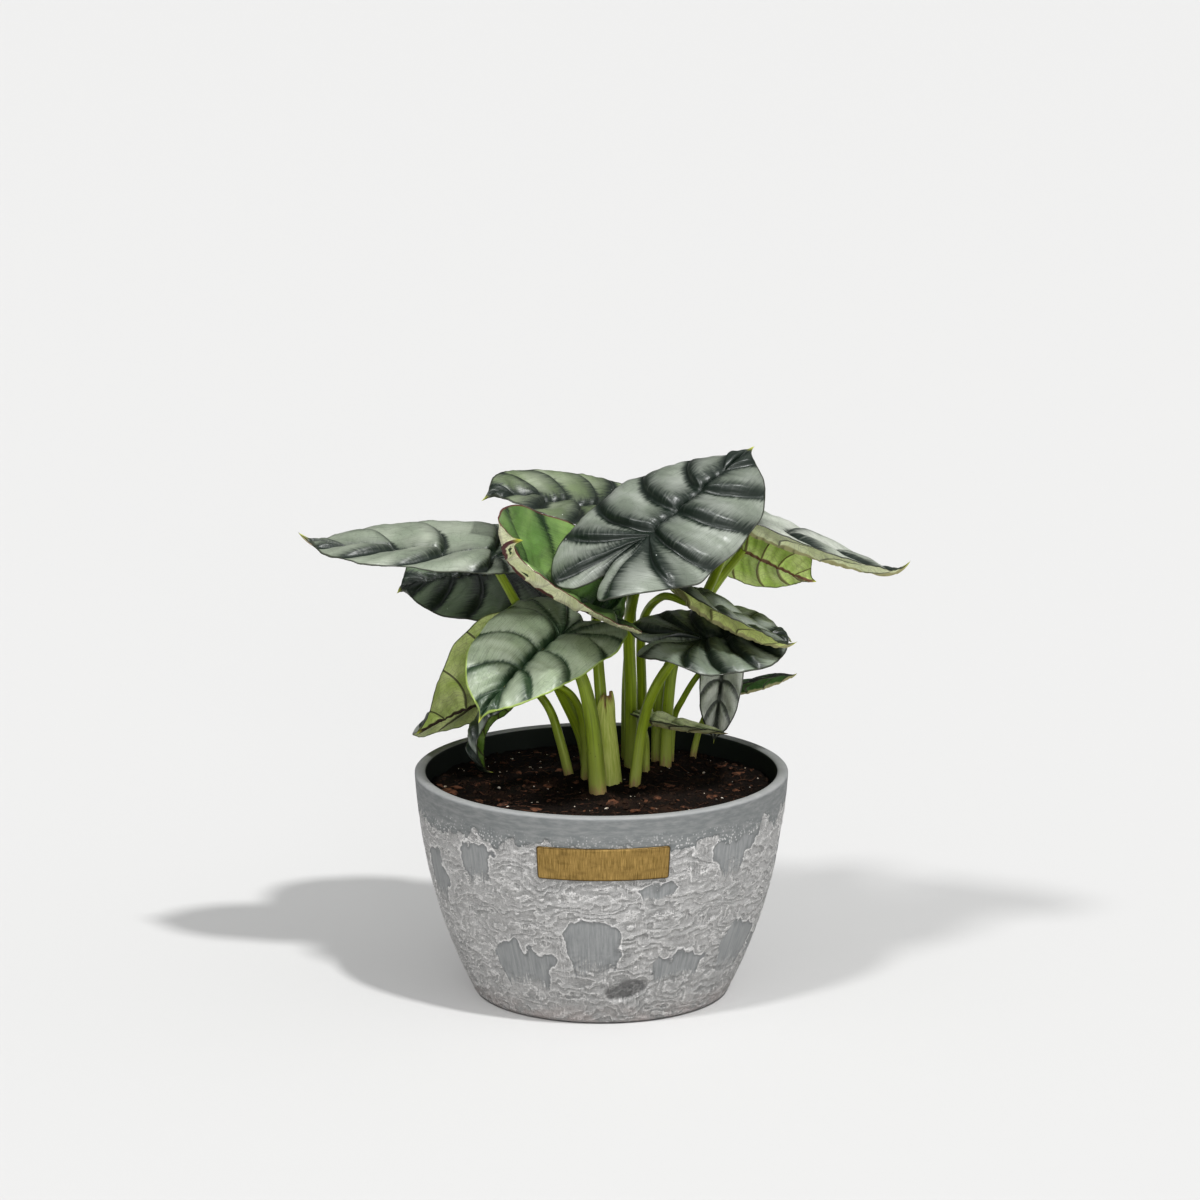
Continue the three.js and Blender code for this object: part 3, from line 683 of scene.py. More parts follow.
def blade_relief(side, half, flat, out, share, width, rib):
    """How far pillows, ripples and unevenness lift each point. share runs from one vein to the next, and
    width is the distance between them."""
    dome = 1.25 * (1 - np.exp(-share / 0.09)) * (1 - share) ** 0.75
    height = RELIEF_MOST * np.tanh(RELIEF * width / RELIEF_MOST) * dome
    height = height * (1 - np.exp(-rib / 2.5)) * (1 - out**5)
    wave = noise(np.stack([flat[..., 0] / 13 + 9 * side, flat[..., 1] / 13, 0 * out + half], -1), 3) - 0.5
    quilt = noise(np.stack([flat[..., 0] / 3.2, flat[..., 1] / 3.2, 0 * out + side], -1), 4) - 0.5
    ripple = np.sin(2 * np.pi * (2.6 * share + 1.2 * wave)) * smooth(share * 4) * smooth((1 - share) * 4)
    height = height + RIPPLE * ripple * smooth(width / 14) * (1 - 0.5 * out**2)
    return height + (2.2 * wave + 0.45 * quilt) * (1 - np.exp(-rib / 3))


def blade_half(leaf, side, steps, rows):
    """One half of a blade: its points, normals, relief and the distances that its colours need."""
    station = np.linspace(0, CELLS, CELLS * steps + 1)[:, None] + np.zeros((1, rows + 1))
    out = np.zeros_like(station) + np.linspace(0, 1, rows + 1) ** 0.9
    half = leaf["half"]
    across, along = flat_points(leaf, side, station, out)
    flat = np.stack([across * half, along], -1)
    cell = np.minimum(np.floor(station + 1e-9), CELLS - 1)
    share = 1 - (station - cell)
    ends = [np.stack(flat_points(leaf, side, c, out), -1) * [half, 1] for c in (cell, cell + 1)]
    width = np.linalg.norm(ends[0] - ends[1], axis=-1)
    on_vein = np.abs(station - np.round(station)) < 1e-6
    steps_out = np.linalg.norm(np.diff(flat, axis=1), axis=-1)
    run = np.concatenate([np.zeros((len(station), 1)), np.cumsum(steps_out, 1)], 1)
    rib = np.where(along > -0.02 * leaf["rear"], across * half, np.hypot(across * half, along))
    points, normal = bent_half(leaf, side, across, along)
    height = blade_relief(side, half, flat, out, np.clip(share, 0, 1), width, rib)
    beside = np.full_like(run, 20 * side)
    return dict(
        points=points, normal=normal, height=height, out=out, along=along,
        basal=np.where(on_vein, 0, share * width),
        apical=np.where(on_vein, 0, (1 - share) * width),
        rib=rib,
        edge=run[:, -1:] - run,
        apex=smooth((along / leaf["front"] - 0.93) / 0.06),
        flat=np.stack([flat[..., 0], flat[..., 1], beside], -1),
        strand=np.stack([station, run, beside], -1),
    )


def blade_piece(name, leaf, materials):
    """Two halves, each with a lower and an upper skin and a strip between them along the margin."""
    steps, rows = SMALL_BLADE_GRID if name in SMALL else BLADE_GRID
    vertices, faces, slots = [], [], []
    values = {key: [] for key in ("basal", "apical", "rib", "edge", "apex", "flat", "strand")}
    for hand, side in enumerate((-1, 1)):
        s = blade_half(leaf, side, steps, rows)
        shape = s["out"].shape
        count = s["out"].size
        first = 2 * count * hand
        thin = BLADE_THICKNESS * (1 - 0.45 * s["out"] ** 3)
        ridge = RIB_RIDGE * np.exp(-(s["rib"] / 1.5) ** 2) * (1 - s["along"].clip(0) / leaf["front"]) ** 0.6
        nearest = np.minimum(s["basal"], s["apical"])
        vein = VEIN_RIDGE * np.exp(-((nearest / 0.8) ** 2)) * (1 - s["out"]) ** 0.5
        groove = RIB_GROOVE * np.exp(-((s["rib"] / 0.8) ** 2))
        for face, offset in enumerate((-thin / 2 - ridge - vein, thin / 2 - groove)):
            lift = s["height"] + offset
            vertices.append(s["points"] + s["normal"] * lift[..., None])
            for key in values:
                values[key].append(s[key])
            quads = grid_faces(*shape, start=first + face * count)[:, [0, 3, 2, 1]]
            faces.append(quads if hand == face else quads[:, ::-1])
            slots += [1 - face] * len(quads)
        rim = first + np.arange(shape[0]) * shape[1] + rows
        strip = np.stack([rim[:-1] + count, rim[1:] + count, rim[1:], rim[:-1]], -1)
        faces.append(strip if hand else strip[:, ::-1])
        slots += [2] * len(strip)
    values = {key: np.array(parts) for key, parts in values.items()}
    return weld(make_piece("leaf_" + name, vertices, np.concatenate(faces), materials, values, slots), 0.02)


def petiole_line(leaf, count):
    """Points of the petiole's path, and the share from foot to top of each."""
    points = np.array([[*leaf["foot"], ROOT_DEPTH], *leaf["via"], leaf["at"]], dtype=float)
    first, last = 2 * points[0] - points[1], 2 * points[-1] - points[-2]
    share = np.linspace(0, 1, count)
    return table_at(np.concatenate([[first], points, [last]]), share * (len(points) - 1) + 1), share


def petiole_piece(name, leaf, material):
    rings, sides = PETIOLE_GRID
    line, share = petiole_line(leaf, rings)
    tangent = unit(np.gradient(line, axis=0))
    across = unit(np.array([1, 0, 0]) - tangent[:, :1] * tangent)
    other = np.cross(tangent, across)
    foot, top = leaf["radius"]
    radius = (top + (foot - top) * (1 - share) ** 1.3)[:, None]
    angle = full_turn(sides)
    facing = (sum(leaf["foot"]) * 1.7) % 6.28
    channel = 0.2 * np.exp(-(((1 - np.cos(angle - facing)) / 0.12) ** 2)) * (1 - share[:, None]) ** 1.2
    flutes = 0.025 * np.cos(7 * angle + facing)
    size = (radius * (1 + flutes - channel))[..., None]
    around = np.cos(angle)[..., None] * across[:, None, :] + np.sin(angle)[..., None] * other[:, None, :]
    vertices = line[:, None, :] + size * around
    _, up, _ = blade_axes(leaf)
    above = (vertices - leaf["at"]) @ up + PETIOLE_GAP
    near = smooth((share - 0.85) / 0.1)[:, None]
    vertices = vertices - (np.clip(above, 0, None) * near)[..., None] * up
    ring = np.arange(1, rings + 1)[:, None] + 0 * angle
    wrap = np.stack([np.cos(angle) * radius, np.sin(angle) * radius, ring], -1)
    values = dict(height=vertices[..., 2], wrap=wrap)
    return make_piece("stalk_" + name, vertices, grid_faces(rings, sides, wrap=True), [material], values)


def petiole_material():
    """Striped green, paler low down, with dark dots, and torn brown skin at the foot."""
    g = Material("petiole_green", Roughness=0.38)
    wrap, height = g.vector("wrap"), g.number("height")
    stripes = g.noise(wrap, (1.3, 1.3, 0.05), 3)
    broad = g.noise(wrap, (0.15, 0.15, 0.08))
    skin = g.noise(wrap, (1.6, 1.6, 0.3), 4, 0.7)
    dots = g.cells(wrap, (0.35, 0.35, 0.35))
    colour = g.over(
        PETIOLE_GREEN,
        (g.ramp(stripes, 0.35, 0.7), toned(PETIOLE_GREEN, 1.5)),
        (g.ramp(broad, 0.45, 0.75, 0, 0.5), toned(PETIOLE_GREEN, 0.45)),
        (g.ramp(height + broad * 24, 118, 160, 0.75, 0), PETIOLE_PALE),
        (g.ramp(height + skin * 22, 122, 130, 0.85, 0), (0.4, 0.26, 0.14)),
        (g.ramp(dots, 0.05, 0.1, 0.5, 0), (0.06, 0.04, 0.02)),
    )
    return g.finished(colour, stripes, 0.25, 0.3)


# Pot

def pot_radius(height):
    """The pot's outer radius at a height, from the curve of its side."""
    t = np.linspace(0, 1, 400)
    ends = np.array([[FOOT_RADIUS, 0], *POT_BELLY, [RIM_RADIUS, POT_HEIGHT]])
    weights = np.stack([(1 - t) ** 3, 3 * t * (1 - t) ** 2, 3 * t**2 * (1 - t), t**3], -1)
    curve = weights @ ends
    return np.interp(height, curve[:, 1], curve[:, 0])


def pot_marks(around, z):
    """What the glaze does at each point of the side: how far it lies inside a smooth patch's crisp edge, how
    little that patch has faded downwards, the steps of the rocky rest, the plain band and the dent."""
    at = np.stack([around, z, 0 * z], -1)
    ragged = layered(at / [5, 8, 1] + [40, 0, 3], 23, 4) - 0.5
    wavy = layered(at / [15, 12, 1] + [40, 0, 5], 5, 3) - 0.5
    inside = np.full(z.shape, -9.0)
    faded = np.zeros(z.shape)
    for middle, top, width, depth in PATCHES:
        aside = np.abs((around - middle + GIRTH / 2) % GIRTH - GIRTH / 2)
        arch = 0.9 * depth * (2 * aside / width).clip(0, 1.5) ** 3
        below = top + 13 * wavy + 7 * ragged - 0.25 * arch - z
        across = width / 2 * (1 - 0.45 * (below / depth).clip(0, 1)) + 11 * ragged + 12 * wavy - aside
        depth_in = np.minimum(below, across)
        left = 1 - smooth((below / depth - 0.35) / 0.65)
        better = depth_in > inside
        inside = np.where(better, depth_in, inside)
        faded = np.where(better, left, faded)
    band = smooth((z - BAND_FOOT + 16 * ragged + 12 * wavy) / 4)
    bend = layered(at / [17, 9, 1] + [40, 0, 9], 31, 4) - 0.5
    fine = layered(at / [5, 3.4, 1] + [40, 0, 13], 37, 3) - 0.5
    steps = z / LEDGE + 5.5 * bend + 0.9 * fine
    oval = np.hypot((around - DENT[0]) / DENT[2], (z - DENT[1] - 0.15 * (around - DENT[0])) / DENT[3])
    dent = 1 - smooth((oval + 0.5 * ragged - 0.6) / 0.4)
    return inside, faded, steps, band, dent


def pot_profile():
    """The pot's section from the middle of its foot, over the lip, to the middle of its floor, the row at
    which its side starts and the row from which it is seen from inside."""
    profile = [[0.01, 0], [30, 0], [60, 0]]
    foot = FOOT_RADIUS - FOOT_EDGE
    for a in np.linspace(0, np.pi / 2, 6)[:-1]:
        profile.append([foot + (FOOT_EDGE + 0.4) * math.sin(a), FOOT_EDGE * (1 - math.cos(a))])
    side_start = len(profile)
    profile += [[pot_radius(h), h] for h in np.linspace(FOOT_EDGE, LIP_FOOT - 0.1, SIDE_ROWS)]
    inside_start = len(profile) + LIP_ROWS - 2
    middle, half_wall = RIM_RADIUS - WALL / 2, WALL / 2
    for a in np.linspace(0, np.pi, LIP_ROWS + 1)[1:]:
        radius = middle + half_wall * math.cos(a) * (1 - 0.04 * math.sin(a))
        profile.append([radius, LIP_FOOT + LIP * math.sin(a) ** 0.8])
    profile += [[pot_radius(h) - WALL, h] for h in np.linspace(LIP_FOOT - 1.2, FLOOR + 1, 14)]
    profile += [[pot_radius(FLOOR) - WALL - 1, FLOOR], [30, FLOOR], [0.01, FLOOR]]
    return np.array(profile), side_start, inside_start


def pot_piece():
    profile, side_start, inside_start = pot_profile()
    angle = full_turn(SIDE_COLUMNS)
    x = profile[:, :1] * np.sin(angle)
    y = -profile[:, :1] * np.cos(angle)
    z = np.repeat(profile[:, 1:], SIDE_COLUMNS, axis=1)
    row = np.arange(len(profile))[:, None]
    is_side = (row > side_start) & (row < side_start + SIDE_ROWS)
    around = np.arctan2(x, -y) * RIM_RADIUS
    inside, faded, steps, band, dent = pot_marks(around, z)
    patch = smooth(inside / 1.5) * faded
    step = steps - np.floor(steps)
    hollow = smooth((step - 0.1) / 0.75) * (1 - smooth((step - 0.85) / 0.15))
    sunk = (1 - band) * (PATCH_DEPTH * patch + LEDGE_DEPTH * (1 - patch) * hollow) + DENT_DEPTH * dent
    beside, above = PLATE_WIDTH / 2 + 4 - np.abs(around), PLATE_HEIGHT / 2 + 3 - np.abs(z - PLATE_MIDDLE)
    behind_plate = smooth(beside / 3) * smooth(above / 3)
    sunk = is_side * sunk * (1 - 0.8 * behind_plate)
    radius = np.hypot(x, y)
    x, y = x * (1 - sunk / radius), y * (1 - sunk / radius)
    values = dict(
        inside=inside, faded=faded, steps=steps, band=band, dent=dent, level=z,
        inner=(row >= inside_start) + 0 * z, side=np.stack([around, z, 0 * z], -1),
    )
    faces = grid_faces(len(profile), SIDE_COLUMNS, wrap=True)
    piece = weld(make_piece("pot_body", np.stack([x, y, z], -1), faces, [pot_material()], values), 0.05)
    for k in range(DRAIN_COUNT):
        turn = 2 * math.pi * (k + 0.25) / DRAIN_COUNT
        drill(piece, DRAIN_CIRCLE * math.cos(turn), DRAIN_CIRCLE * math.sin(turn))
    return piece


def drill(piece, x, y):
    """Cuts a drain hole through the pot's floor."""
    bpy.ops.mesh.primitive_cylinder_add(
        vertices=48, radius=DRAIN_RADIUS * MM, depth=4 * FLOOR * MM, location=(x * MM, y * MM, 0)
    )
    cutter = bpy.context.object
    bpy.context.view_layer.objects.active = piece
    cut = piece.modifiers.new("drain", "BOOLEAN")
    cut.operation = "DIFFERENCE"
    cut.solver = "MANIFOLD"
    cut.object = cutter
    bpy.ops.object.modifier_apply(modifier=cut.name)
    bpy.data.objects.remove(cutter)


def ledge(g, steps):
    """The share down each ledge, and its whitish upper edge, which is partly a painted highlight."""
    down = g.math("FRACT", steps)
    return down, g.ramp(down, 0, 0.3, 1, 0)


def pot_material():
    """Matt grey: ledges whose crinkled upper edges are whitish glaze with a painted highlight, with painted
    shade in the hollow under each ledge, streaky smooth patches under crisp edges, and a plain band under
    the rim."""
    g = Material("marbled_ceramic", Roughness=0.62, Specular_IOR_Level=0.3)
    side, level, band = g.vector("side"), g.number("level"), g.number("band")
    grain = g.noise(side, (1.1, 1.1, 1), 4, 0.7)
    tiny = g.noise(side, (0.4, 0.75, 1), 5, 0.75) - 0.5
    haze = g.noise(side, (0.05, 0.09, 1), 5, 0.65)
    streak = g.noise(side, (0.55, 0.05, 1), 4, 0.75)
    thin_streak = g.noise(side, (1, 0.11, 1), 3, 0.7)
    warp = g.noise(side, (0.09, 0.14, 1), 6, 0.72)
    mottle = g.noise(side, (0.12, 0.5, 1), 6, 0.6)

    down, edge = ledge(g, g.number("steps") + tiny * 1.6)
    fine_down, fine_edge = ledge(g, warp * 15)
    drip = g.ramp(thin_streak, 0.5, 0.6) * g.ramp(down, 0.25, 0.8)
    drip = drip * g.ramp(g.noise(side, (0.05, 0.07, 1)), 0.4, 0.55, 0.25, 1)
    # The whitish glaze of the crests and drips, with a painted highlight along each ledge's upper edge.
    glaze_white_and_highlight = any_of(edge * 0.95, fine_edge * 0.75, drip * 0.65)
    glaze_white_and_highlight = g.ramp(glaze_white_and_highlight, 0.15, 0.75) * g.ramp(grain, 0.3, 0.55, 0.5, 1)

    into = g.number("inside") + tiny * 3.5
    faded = g.number("faded")
    within = g.ramp(into, 0, 0.5) * g.ramp(faded + (thin_streak - 0.5) * 2.4, 0.1, 0.6)
    lip = g.ramp(g.math("ABSOLUTE", into + 0.3), 0, 0.8, 1, 0) * faded**1.5
    patch = g.over(
        (0.21, 0.218, 0.22),
        (g.ramp(streak, 0.3, 0.7), (0.31, 0.314, 0.312)),
        (g.ramp(into, 0.3, 3.5, 0.5, 0), (0.13, 0.135, 0.135)),
    )
    crumb = g.ramp(g.cells(side, (0.7, 0.6, 1)), 0.15, 0.42, 0.9, 0)
    near_edge = g.ramp(level + (haze - 0.5) * 24, 100, 113, 1, 0)
    plain = g.over(
        (0.17, 0.18, 0.18),
        (g.ramp(mottle, 0.35, 0.7), (0.24, 0.245, 0.242)),
        (crumb * near_edge, (0.62, 0.61, 0.6)),
    )
    colour = g.over(
        (0.58, 0.575, 0.565),
        # Painted shade: darker down each ledge into the hollow under it, and under each fine wrinkle.
        (down**1.2, (0.28, 0.28, 0.276)),
        (fine_down * 0.4, (0.17, 0.17, 0.168)),
        (g.ramp(haze, 0.38, 0.6, 0, 0.4), (0.55, 0.54, 0.53)),
        (glaze_white_and_highlight, (0.86, 0.845, 0.83)),
        (within, patch),
        (lip * g.ramp(grain, 0.2, 0.5, 0.4, 1), (0.88, 0.865, 0.85)),
        (g.ramp(band + tiny * 1.2, 0.35, 0.65), plain),
        (g.number("dent") * 0.6, (0.13, 0.13, 0.128)),
        (g.ramp(level, 0, 16, 0.35, 0) * g.ramp(haze, 0.4, 0.6), (0.42, 0.32, 0.29)),
        (g.ramp(level, 119.5, 121, 0, 0.5), (0.4, 0.4, 0.4)),
        (g.number("inner"), (0.018, 0.024, 0.02)),
    )
    relief = (glaze_white_and_highlight * 0.9 - fine_down * 0.8) * (1 - within) * (1 - band)
    return g.finished(colour, relief + grain * 0.3, 0.7, 0.7)


# Plate

def plate_piece():
    rows, columns = 40, 140
    u, v = np.linspace(-1, 1, columns), np.linspace(-1, 1, rows)[:, None]
    reach = np.stack([np.abs(u) * PLATE_WIDTH / 2 + 0 * v, np.abs(v) * PLATE_HEIGHT / 2 + 0 * u])
    square = np.array([PLATE_WIDTH, PLATE_HEIGHT])[:, None, None] / 2 - PLATE_CORNER
    over = (reach - square).clip(1e-6)
    reach = np.where(reach > square, square + over * over.max(0) / np.hypot(*over), reach)
    height = PLATE_MIDDLE + np.sign(v) * reach[1]
    angle = math.radians(PLATE_TURN) + np.sign(u) * reach[0] / pot_radius(PLATE_MIDDLE)
    from_edge = np.minimum((1 - np.abs(u)) * PLATE_WIDTH / 2, (1 - np.abs(v)) * PLATE_HEIGHT / 2)
    round_edge = 0.35 * (1 - smooth(from_edge / 0.6))
    raised = 0.12 * smooth((from_edge - 0.9) / 0.2) * smooth((1.7 - from_edge) / 0.2)
    front = pot_radius(height) + PLATE_FRONT - round_edge + raised
    back = pot_radius(height) + PLATE_BACK
    skins = [np.stack([r * np.sin(angle), -r * np.cos(angle), height], -1) for r in (front, back)]
    side = np.stack([angle * PLATE_REACH, height, 0 * height], -1)
    return shell_piece("brass_plate", *skins, brass(), dict(side=side, from_edge=from_edge))


def brass():
    """Brass brushed downwards, tarnished in places and darkest at its edge."""
    g = Material("brushed_brass", Metallic=1)
    side = g.vector("side")
    brush = g.noise(side, (2.6, 0.12, 1), 4, 0.7)
    tarnish = g.noise(side, (0.12, 0.3, 1), 3)
    colour = g.over(
        (0.24, 0.163, 0.055),
        (g.ramp(brush, 0.35, 0.65), (0.5, 0.34, 0.13)),
        (g.ramp(tarnish, 0.45, 0.75, 0, 0.4), (0.12, 0.08, 0.03)),
        (g.ramp(g.number("from_edge"), 0.3, 1, 0.75, 0), (0.05, 0.035, 0.02)),
    )
    return g.finished(colour, brush, 0.25, 0.15, Roughness=g.ramp(brush, 0.2, 0.8, 0.3, 0.45))


# Soil

def soil_height(x, y):
    """The height of the soil's top: a mound, soft lumps, crumbs and a bank round each petiole."""
    reach = np.hypot(x - CROWN[0], y - CROWN[1]) / 30
    lumps = 0.5 * np.sin(x / 9 + 1) * np.cos(y / 7) + 0.4 * np.sin((x + 2 * y) / 11)
    at = np.stack([x, y, 0 * x], -1)
    crumbs = 2.4 * (layered(at / 7, 41, 3) - 0.5) + 1.6 * (layered(at / 2.2, 47, 3) - 0.5)
    banked = 0
    for leaf in LEAVES.values():
        gap = np.hypot(x - leaf["foot"][0], y - leaf["foot"][1]) - leaf["radius"][0]
        banked = np.maximum(banked, np.exp(-((gap / 3) ** 2)))
    return SOIL_EDGE + SOIL_MOUND * np.exp(-reach * reach) + lumps + crumbs + SOIL_BANK * banked


def soil_reach(margin):
    """The radius at which something on the soil stays clear of the pot's wall by a margin."""
    return pot_radius(SOIL_EDGE) - WALL - margin


def soil_piece():
    segments = 300
    heights = [FLOOR + 0.3, 30, 60, 90, SOIL_EDGE - 3]
    levels = np.array([heights[0], *heights])
    walls = [pot_radius(h) - WALL - 0.6 for h in heights]
    radii = np.array([0.05, *walls, *np.linspace(soil_reach(0.35), 0.05, 100)])[:, None]
    angle = full_turn(segments)
    x, y = radii * np.sin(angle), -radii * np.cos(angle)
    z = soil_height(x, y)
    z[: len(levels)] = levels[:, None]
    faces = grid_faces(len(radii), segments, wrap=True)
    look = soil_material("dark_soil", (0.012, 0.007, 0.005))
    return make_piece("soil_body", np.stack([x, y, z], -1), faces, [look])


def soil_material(name, base):
    g = Material(name, Roughness=0.95, Specular_IOR_Level=0.2)
    at = g.node("TexCoord", output="Object")
    fine = g.noise(at, (900, 900, 900), 4, 0.7)
    broad = g.noise(at, (60, 60, 60), 3)
    colour = g.over(
        toned(base, 0.35),
        (g.ramp(fine, 0.4, 0.75), toned(base, 2.2)),
        (g.ramp(broad, 0.5, 0.8, 0, 0.6), (0.06, 0.03, 0.018)),
    )
    return g.finished(colour, fine, 0.8, 0.8)


def speckled_material(name, first, second):
    g = Material(name, Roughness=0.8, Specular_IOR_Level=0.3)
    at = g.node("TexCoord", output="Object")
    colour = g.mix(g.ramp(g.noise(at, (400, 400, 400), 3), 0.35, 0.65), first, second)
    return g.finished(colour, g.noise(at, (1500, 1500, 1500), 3), 0.5, 0.3)


def grain_piece(name, count, size, squash, material, seed):
    """Many small rough grains lying on the soil, joined in one mesh."""
    draw = np.random.default_rng(seed)
    rings, sides = 5, 7
    theta, phi = np.linspace(0, np.pi, rings)[:, None], full_turn(sides)
    ball = np.stack([np.sin(theta) * np.cos(phi), np.sin(theta) * np.sin(phi), np.cos(theta) + 0 * phi], -1)
    ball = ball.reshape(-1, 3)
    vertices, faces = [], []
    for k in range(count):
        r, a = soil_reach(2) * math.sqrt(draw.random()), draw.random() * 2 * math.pi
        x, y = r * math.cos(a), r * math.sin(a)
        axes = size * (0.5 + draw.random() ** 2) * np.array(squash) * (0.7 + 0.6 * draw.random(3))
        lumpy = ball * axes * (0.75 + 0.5 * draw.random((len(ball), 1)))
        heading, _ = draw.random(2) * 2 * math.pi
        tilt = (draw.random() - 0.5) * 1.2
        c, s = math.cos(heading), math.sin(heading)
        turn = np.array([[c, -s, 0], [s, c, 0], [0, 0, 1]])
        c, s = math.cos(tilt), math.sin(tilt)
        lean = np.array([[1, 0, 0], [0, c, -s], [0, s, c]])
        z = soil_height(x, y) + 0.25 * axes[2]
        vertices.append(lumpy @ lean.T @ turn.T + [x, y, z])
        faces.append(grid_faces(rings, sides, wrap=True)[:, ::-1] + k * len(ball))
    return weld(make_piece(name, vertices, np.concatenate(faces), [material], smooth_shade=False), 0.005)


def fibre_piece(count, material):
    """Thin curved bark fibres that lie on the soil."""
    draw = np.random.default_rng(61)
    vertices, faces = [], []
    reach = soil_reach(4)
    points, sides = 6, 4
    for k in range(count):
        r, a = reach * math.sqrt(draw.random()), draw.random() * 2 * math.pi
        heading = draw.random() * 2 * math.pi
        curl = (draw.random() - 0.5) * 1.6
        length = 3 + 9 * draw.random() ** 2
        thick = 0.16 + 0.22 * draw.random()
        at = np.array([r * math.cos(a), r * math.sin(a)])
        for i in range(points):
            turn = heading + curl * i / points
            ahead, aside = [math.cos(turn), math.sin(turn)], [-math.sin(turn), math.cos(turn)]
            at = at * min(1, reach / math.hypot(*at))
            z = soil_height(*at) + thick * 0.6
            size = thick * (0.5 if i in (0, points - 1) else 1)
            for b in full_turn(sides):
                x, y = at + np.array(aside) * math.cos(b) * size
                vertices.append([x, y, z + math.sin(b) * size])
            at = at + np.array(ahead) * length / points
        faces.append(grid_faces(points, sides, wrap=True, start=k * points * sides))
    return make_piece("soil_fibres", vertices, np.concatenate(faces), [material])


# Old sheath

def sheath_piece():
    """A trough round the lower front of its petiole, split and torn at the top."""
    line, _ = petiole_line(LEAVES[SHEATHED], 400)
    rows, columns = 70, 30
    across, up = np.linspace(0, 1, columns), np.linspace(0, 1, rows)[:, None]
    flat = 0 * up + 0 * across
    torn = 0.12 * (noise(np.stack([across * 9 + flat, flat, flat], -1), 71) - 0.5)
    split = 0.22 * np.exp(-(((across - 0.36) / 0.05) ** 2))
    height = SHEATH_FOOT + SHEATH_LENGTH * np.clip(up * (1 + torn * up - split * up), 0, 1)
    middle = sampled(height, line[:, 2], line[:, :2]) + SHEATH_SHIFT
    x, y = middle[..., 0], middle[..., 1]
    spread = SHEATH_SPREAD[0] + (SHEATH_SPREAD[1] - SHEATH_SPREAD[0]) * up**3
    angle = math.radians(SHEATH_FACING) + np.radians(spread) * (2 * across - 1)
    ripple = 0.18 * np.sin(across * 17 + 3 * up) * smooth(up * 2)
    inner = SHEATH_RADIUS - up + ripple + 0.8 * up**4 * np.abs(2 * across - 1)
    skins = [
        np.stack([x + r * np.cos(angle), y + r * np.sin(angle), height], -1)
        for r in (inner + SHEATH_THICKNESS, inner)
    ]
    values = dict(up=up + flat, across=across + flat)
    return shell_piece("dry_sheath", *skins, sheath_material(), values)


def sheath_material():
    """Pale fibrous green, yellower at the foot, with rusty streaks and a brown torn tip."""
    g = Material("dry_sheath", Roughness=0.7, Specular_IOR_Level=0.3)
    up = g.number("up")
    at = g.node("CombineXYZ", {0: g.number("across"), 1: up})
    fibres = g.noise(at, (30, 4, 0), 4, 0.65)
    rust = g.noise(at, (15, 2, 0), 3)
    colour = g.over(
        (0.46, 0.54, 0.11),
        (g.ramp(fibres, 0.35, 0.7), (0.66, 0.7, 0.24)),
        (g.ramp(up, 0, 0.25, 0.7, 0), (0.68, 0.62, 0.36)),
        (g.ramp(up + fibres * 0.3, 1.06, 1.16), (0.22, 0.11, 0.05)),
        (g.ramp(rust, 0.6, 0.8, 0, 0.4), (0.36, 0.2, 0.09)),
    )
    return g.finished(colour, fibres, 0.4, 0.3)


# Stage, light and camera

def stage():
    ground = Material("pale_floor", Roughness=0.9, Specular_IOR_Level=0.1, Base_Color=GROUND_COLOUR)
    near, far, low = -9000, 14000, -0.3
    corners = [[near, near, low], [-near, near, low], [-near, far, low], [near, far, low]]
    make_piece("floor", corners, [[0, 1, 2, 3]], [ground.material])


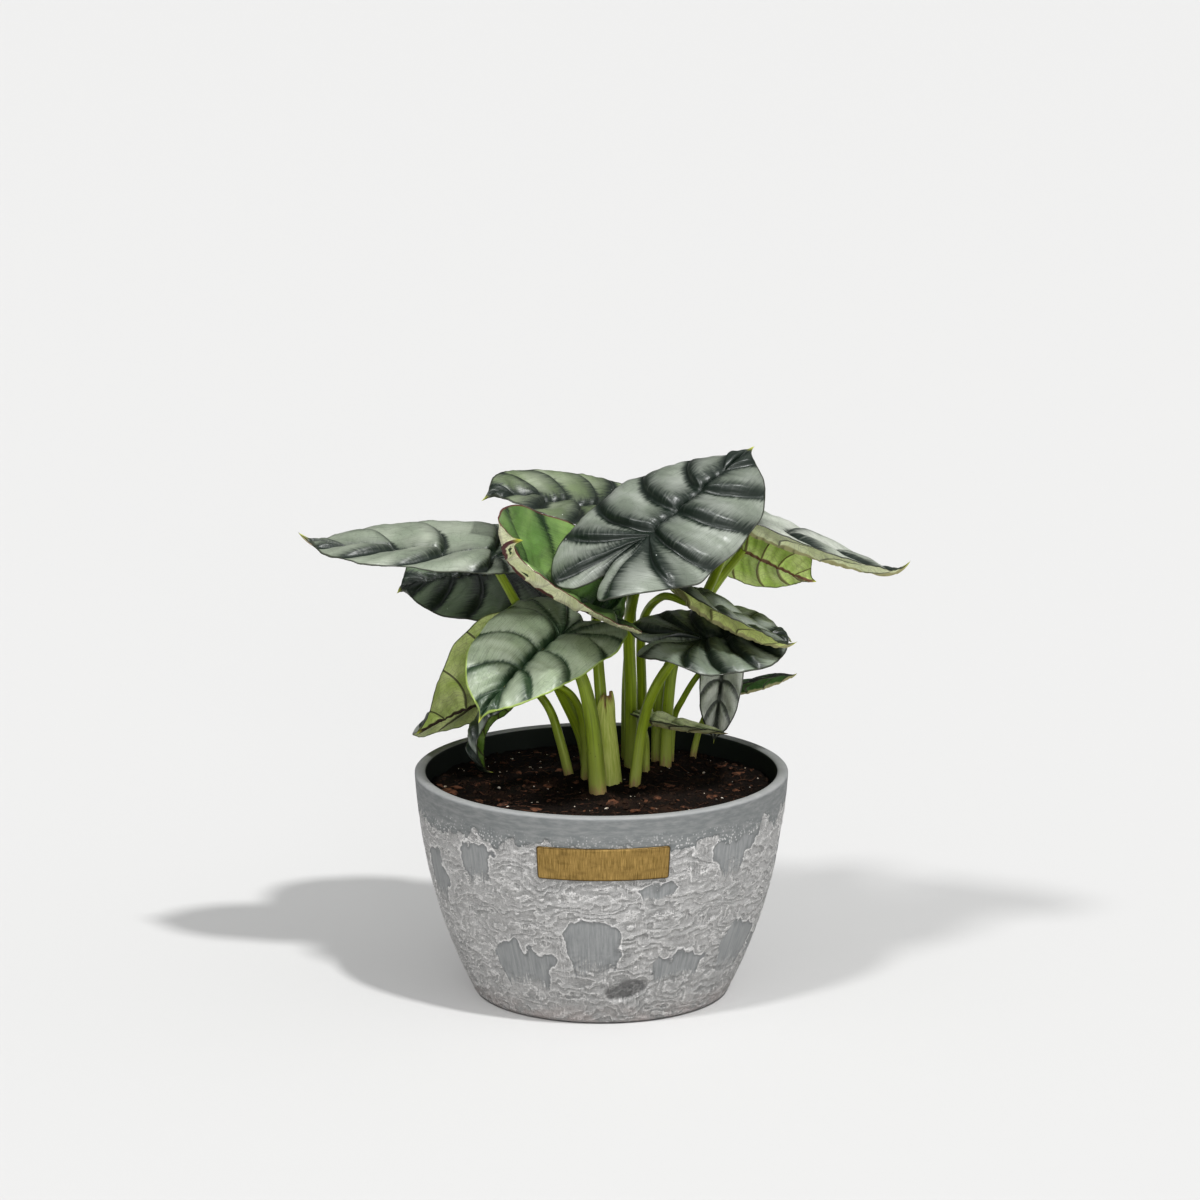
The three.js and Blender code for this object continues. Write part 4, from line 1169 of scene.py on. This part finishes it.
def light():
    """Soft suns, the strongest from the right, and a sky that is brightest round that one."""
    view = bpy.context.scene.view_settings
    view.view_transform = "Standard"
    view.look = "Medium High Contrast"
    world = bpy.data.worlds.new("studio")
    bpy.context.scene.world = world
    world.use_nodes = True
    g = Graph(world.node_tree)
    direction = g.node("TexCoord", output="Generated")
    facing = g.node("VectorMath", {0: direction, 1: SUNS[0][1]}, "Value", operation="DOT_PRODUCT")
    sky = g.tree.nodes["Background"]
    g.feed(sky.inputs["Color"], SKY_COLOUR)
    g.feed(sky.inputs["Strength"], g.ramp(facing, -0.3, 1, SKY_DIM, SKY_BRIGHT))
    for name, towards, power, width in SUNS:
        sun = bpy.data.lights.new(name, "SUN")
        sun.energy = power
        sun.angle = math.radians(width)
        slant = math.acos(towards[2] / math.hypot(*towards))
        add_object(name, sun).rotation_euler = (slant, 0, math.atan2(towards[0], -towards[1]))


def camera():
    pitch = math.radians(PITCH)
    lens = bpy.data.cameras.new("camera")
    lens.lens, lens.sensor_width = LENS, SENSOR
    lens.clip_end = 60
    eye = add_object("camera", lens)
    eye.location = (np.array(TARGET) - DISTANCE * np.array([0, math.cos(pitch), -math.sin(pitch)])) * MM
    eye.rotation_euler = (math.pi / 2 - pitch, 0, 0)
    bpy.context.scene.camera = eye


camera()
light()
stage()

place(pot_piece(), "pot", "pot")
place(plate_piece(), "plate", "name_plate")
place(soil_piece(), "soil", "soil")
place(sheath_piece(), "sheath", "old_sheath")
crumb = soil_material("crumb", (0.035, 0.02, 0.013))
bark = speckled_material("bark", (0.15, 0.065, 0.035), (0.04, 0.018, 0.011))
perlite = speckled_material("perlite", (0.8, 0.74, 0.66), (0.34, 0.26, 0.18))
fibre = speckled_material("fibre", (0.1, 0.045, 0.025), (0.03, 0.015, 0.01))
place(grain_piece("soil_crumbs", 900, 1.3, (1, 0.8, 0.6), crumb, 51), "soil")
place(grain_piece("soil_bark", 170, 1.9, (1.5, 0.8, 0.4), bark, 52), "soil")
place(grain_piece("soil_perlite", 130, 0.7, (1.3, 0.8, 0.6), perlite, 53), "soil")
place(fibre_piece(260, fibre), "soil")

petiole_look = petiole_material()
for leaf_name, leaf in LEAVES.items():
    look = dict(SILVER_LOOK, **LOOKS[leaf_name])
    leaf_looks = [
        blade_top_material("upper_" + leaf_name, look),
        blade_back_material("under_" + leaf_name, look),
        Material("rim_" + leaf_name, Roughness=0.5, Base_Color=look["edge"]).material,
    ]
    slot_name = "young_blade" if leaf_name == SHEATHED else "blade"
    place(blade_piece(leaf_name, leaf, leaf_looks), slot_name, "blade_" + leaf_name)
    place(petiole_piece(leaf_name, leaf, petiole_look), "petiole", "petiole_" + leaf_name)
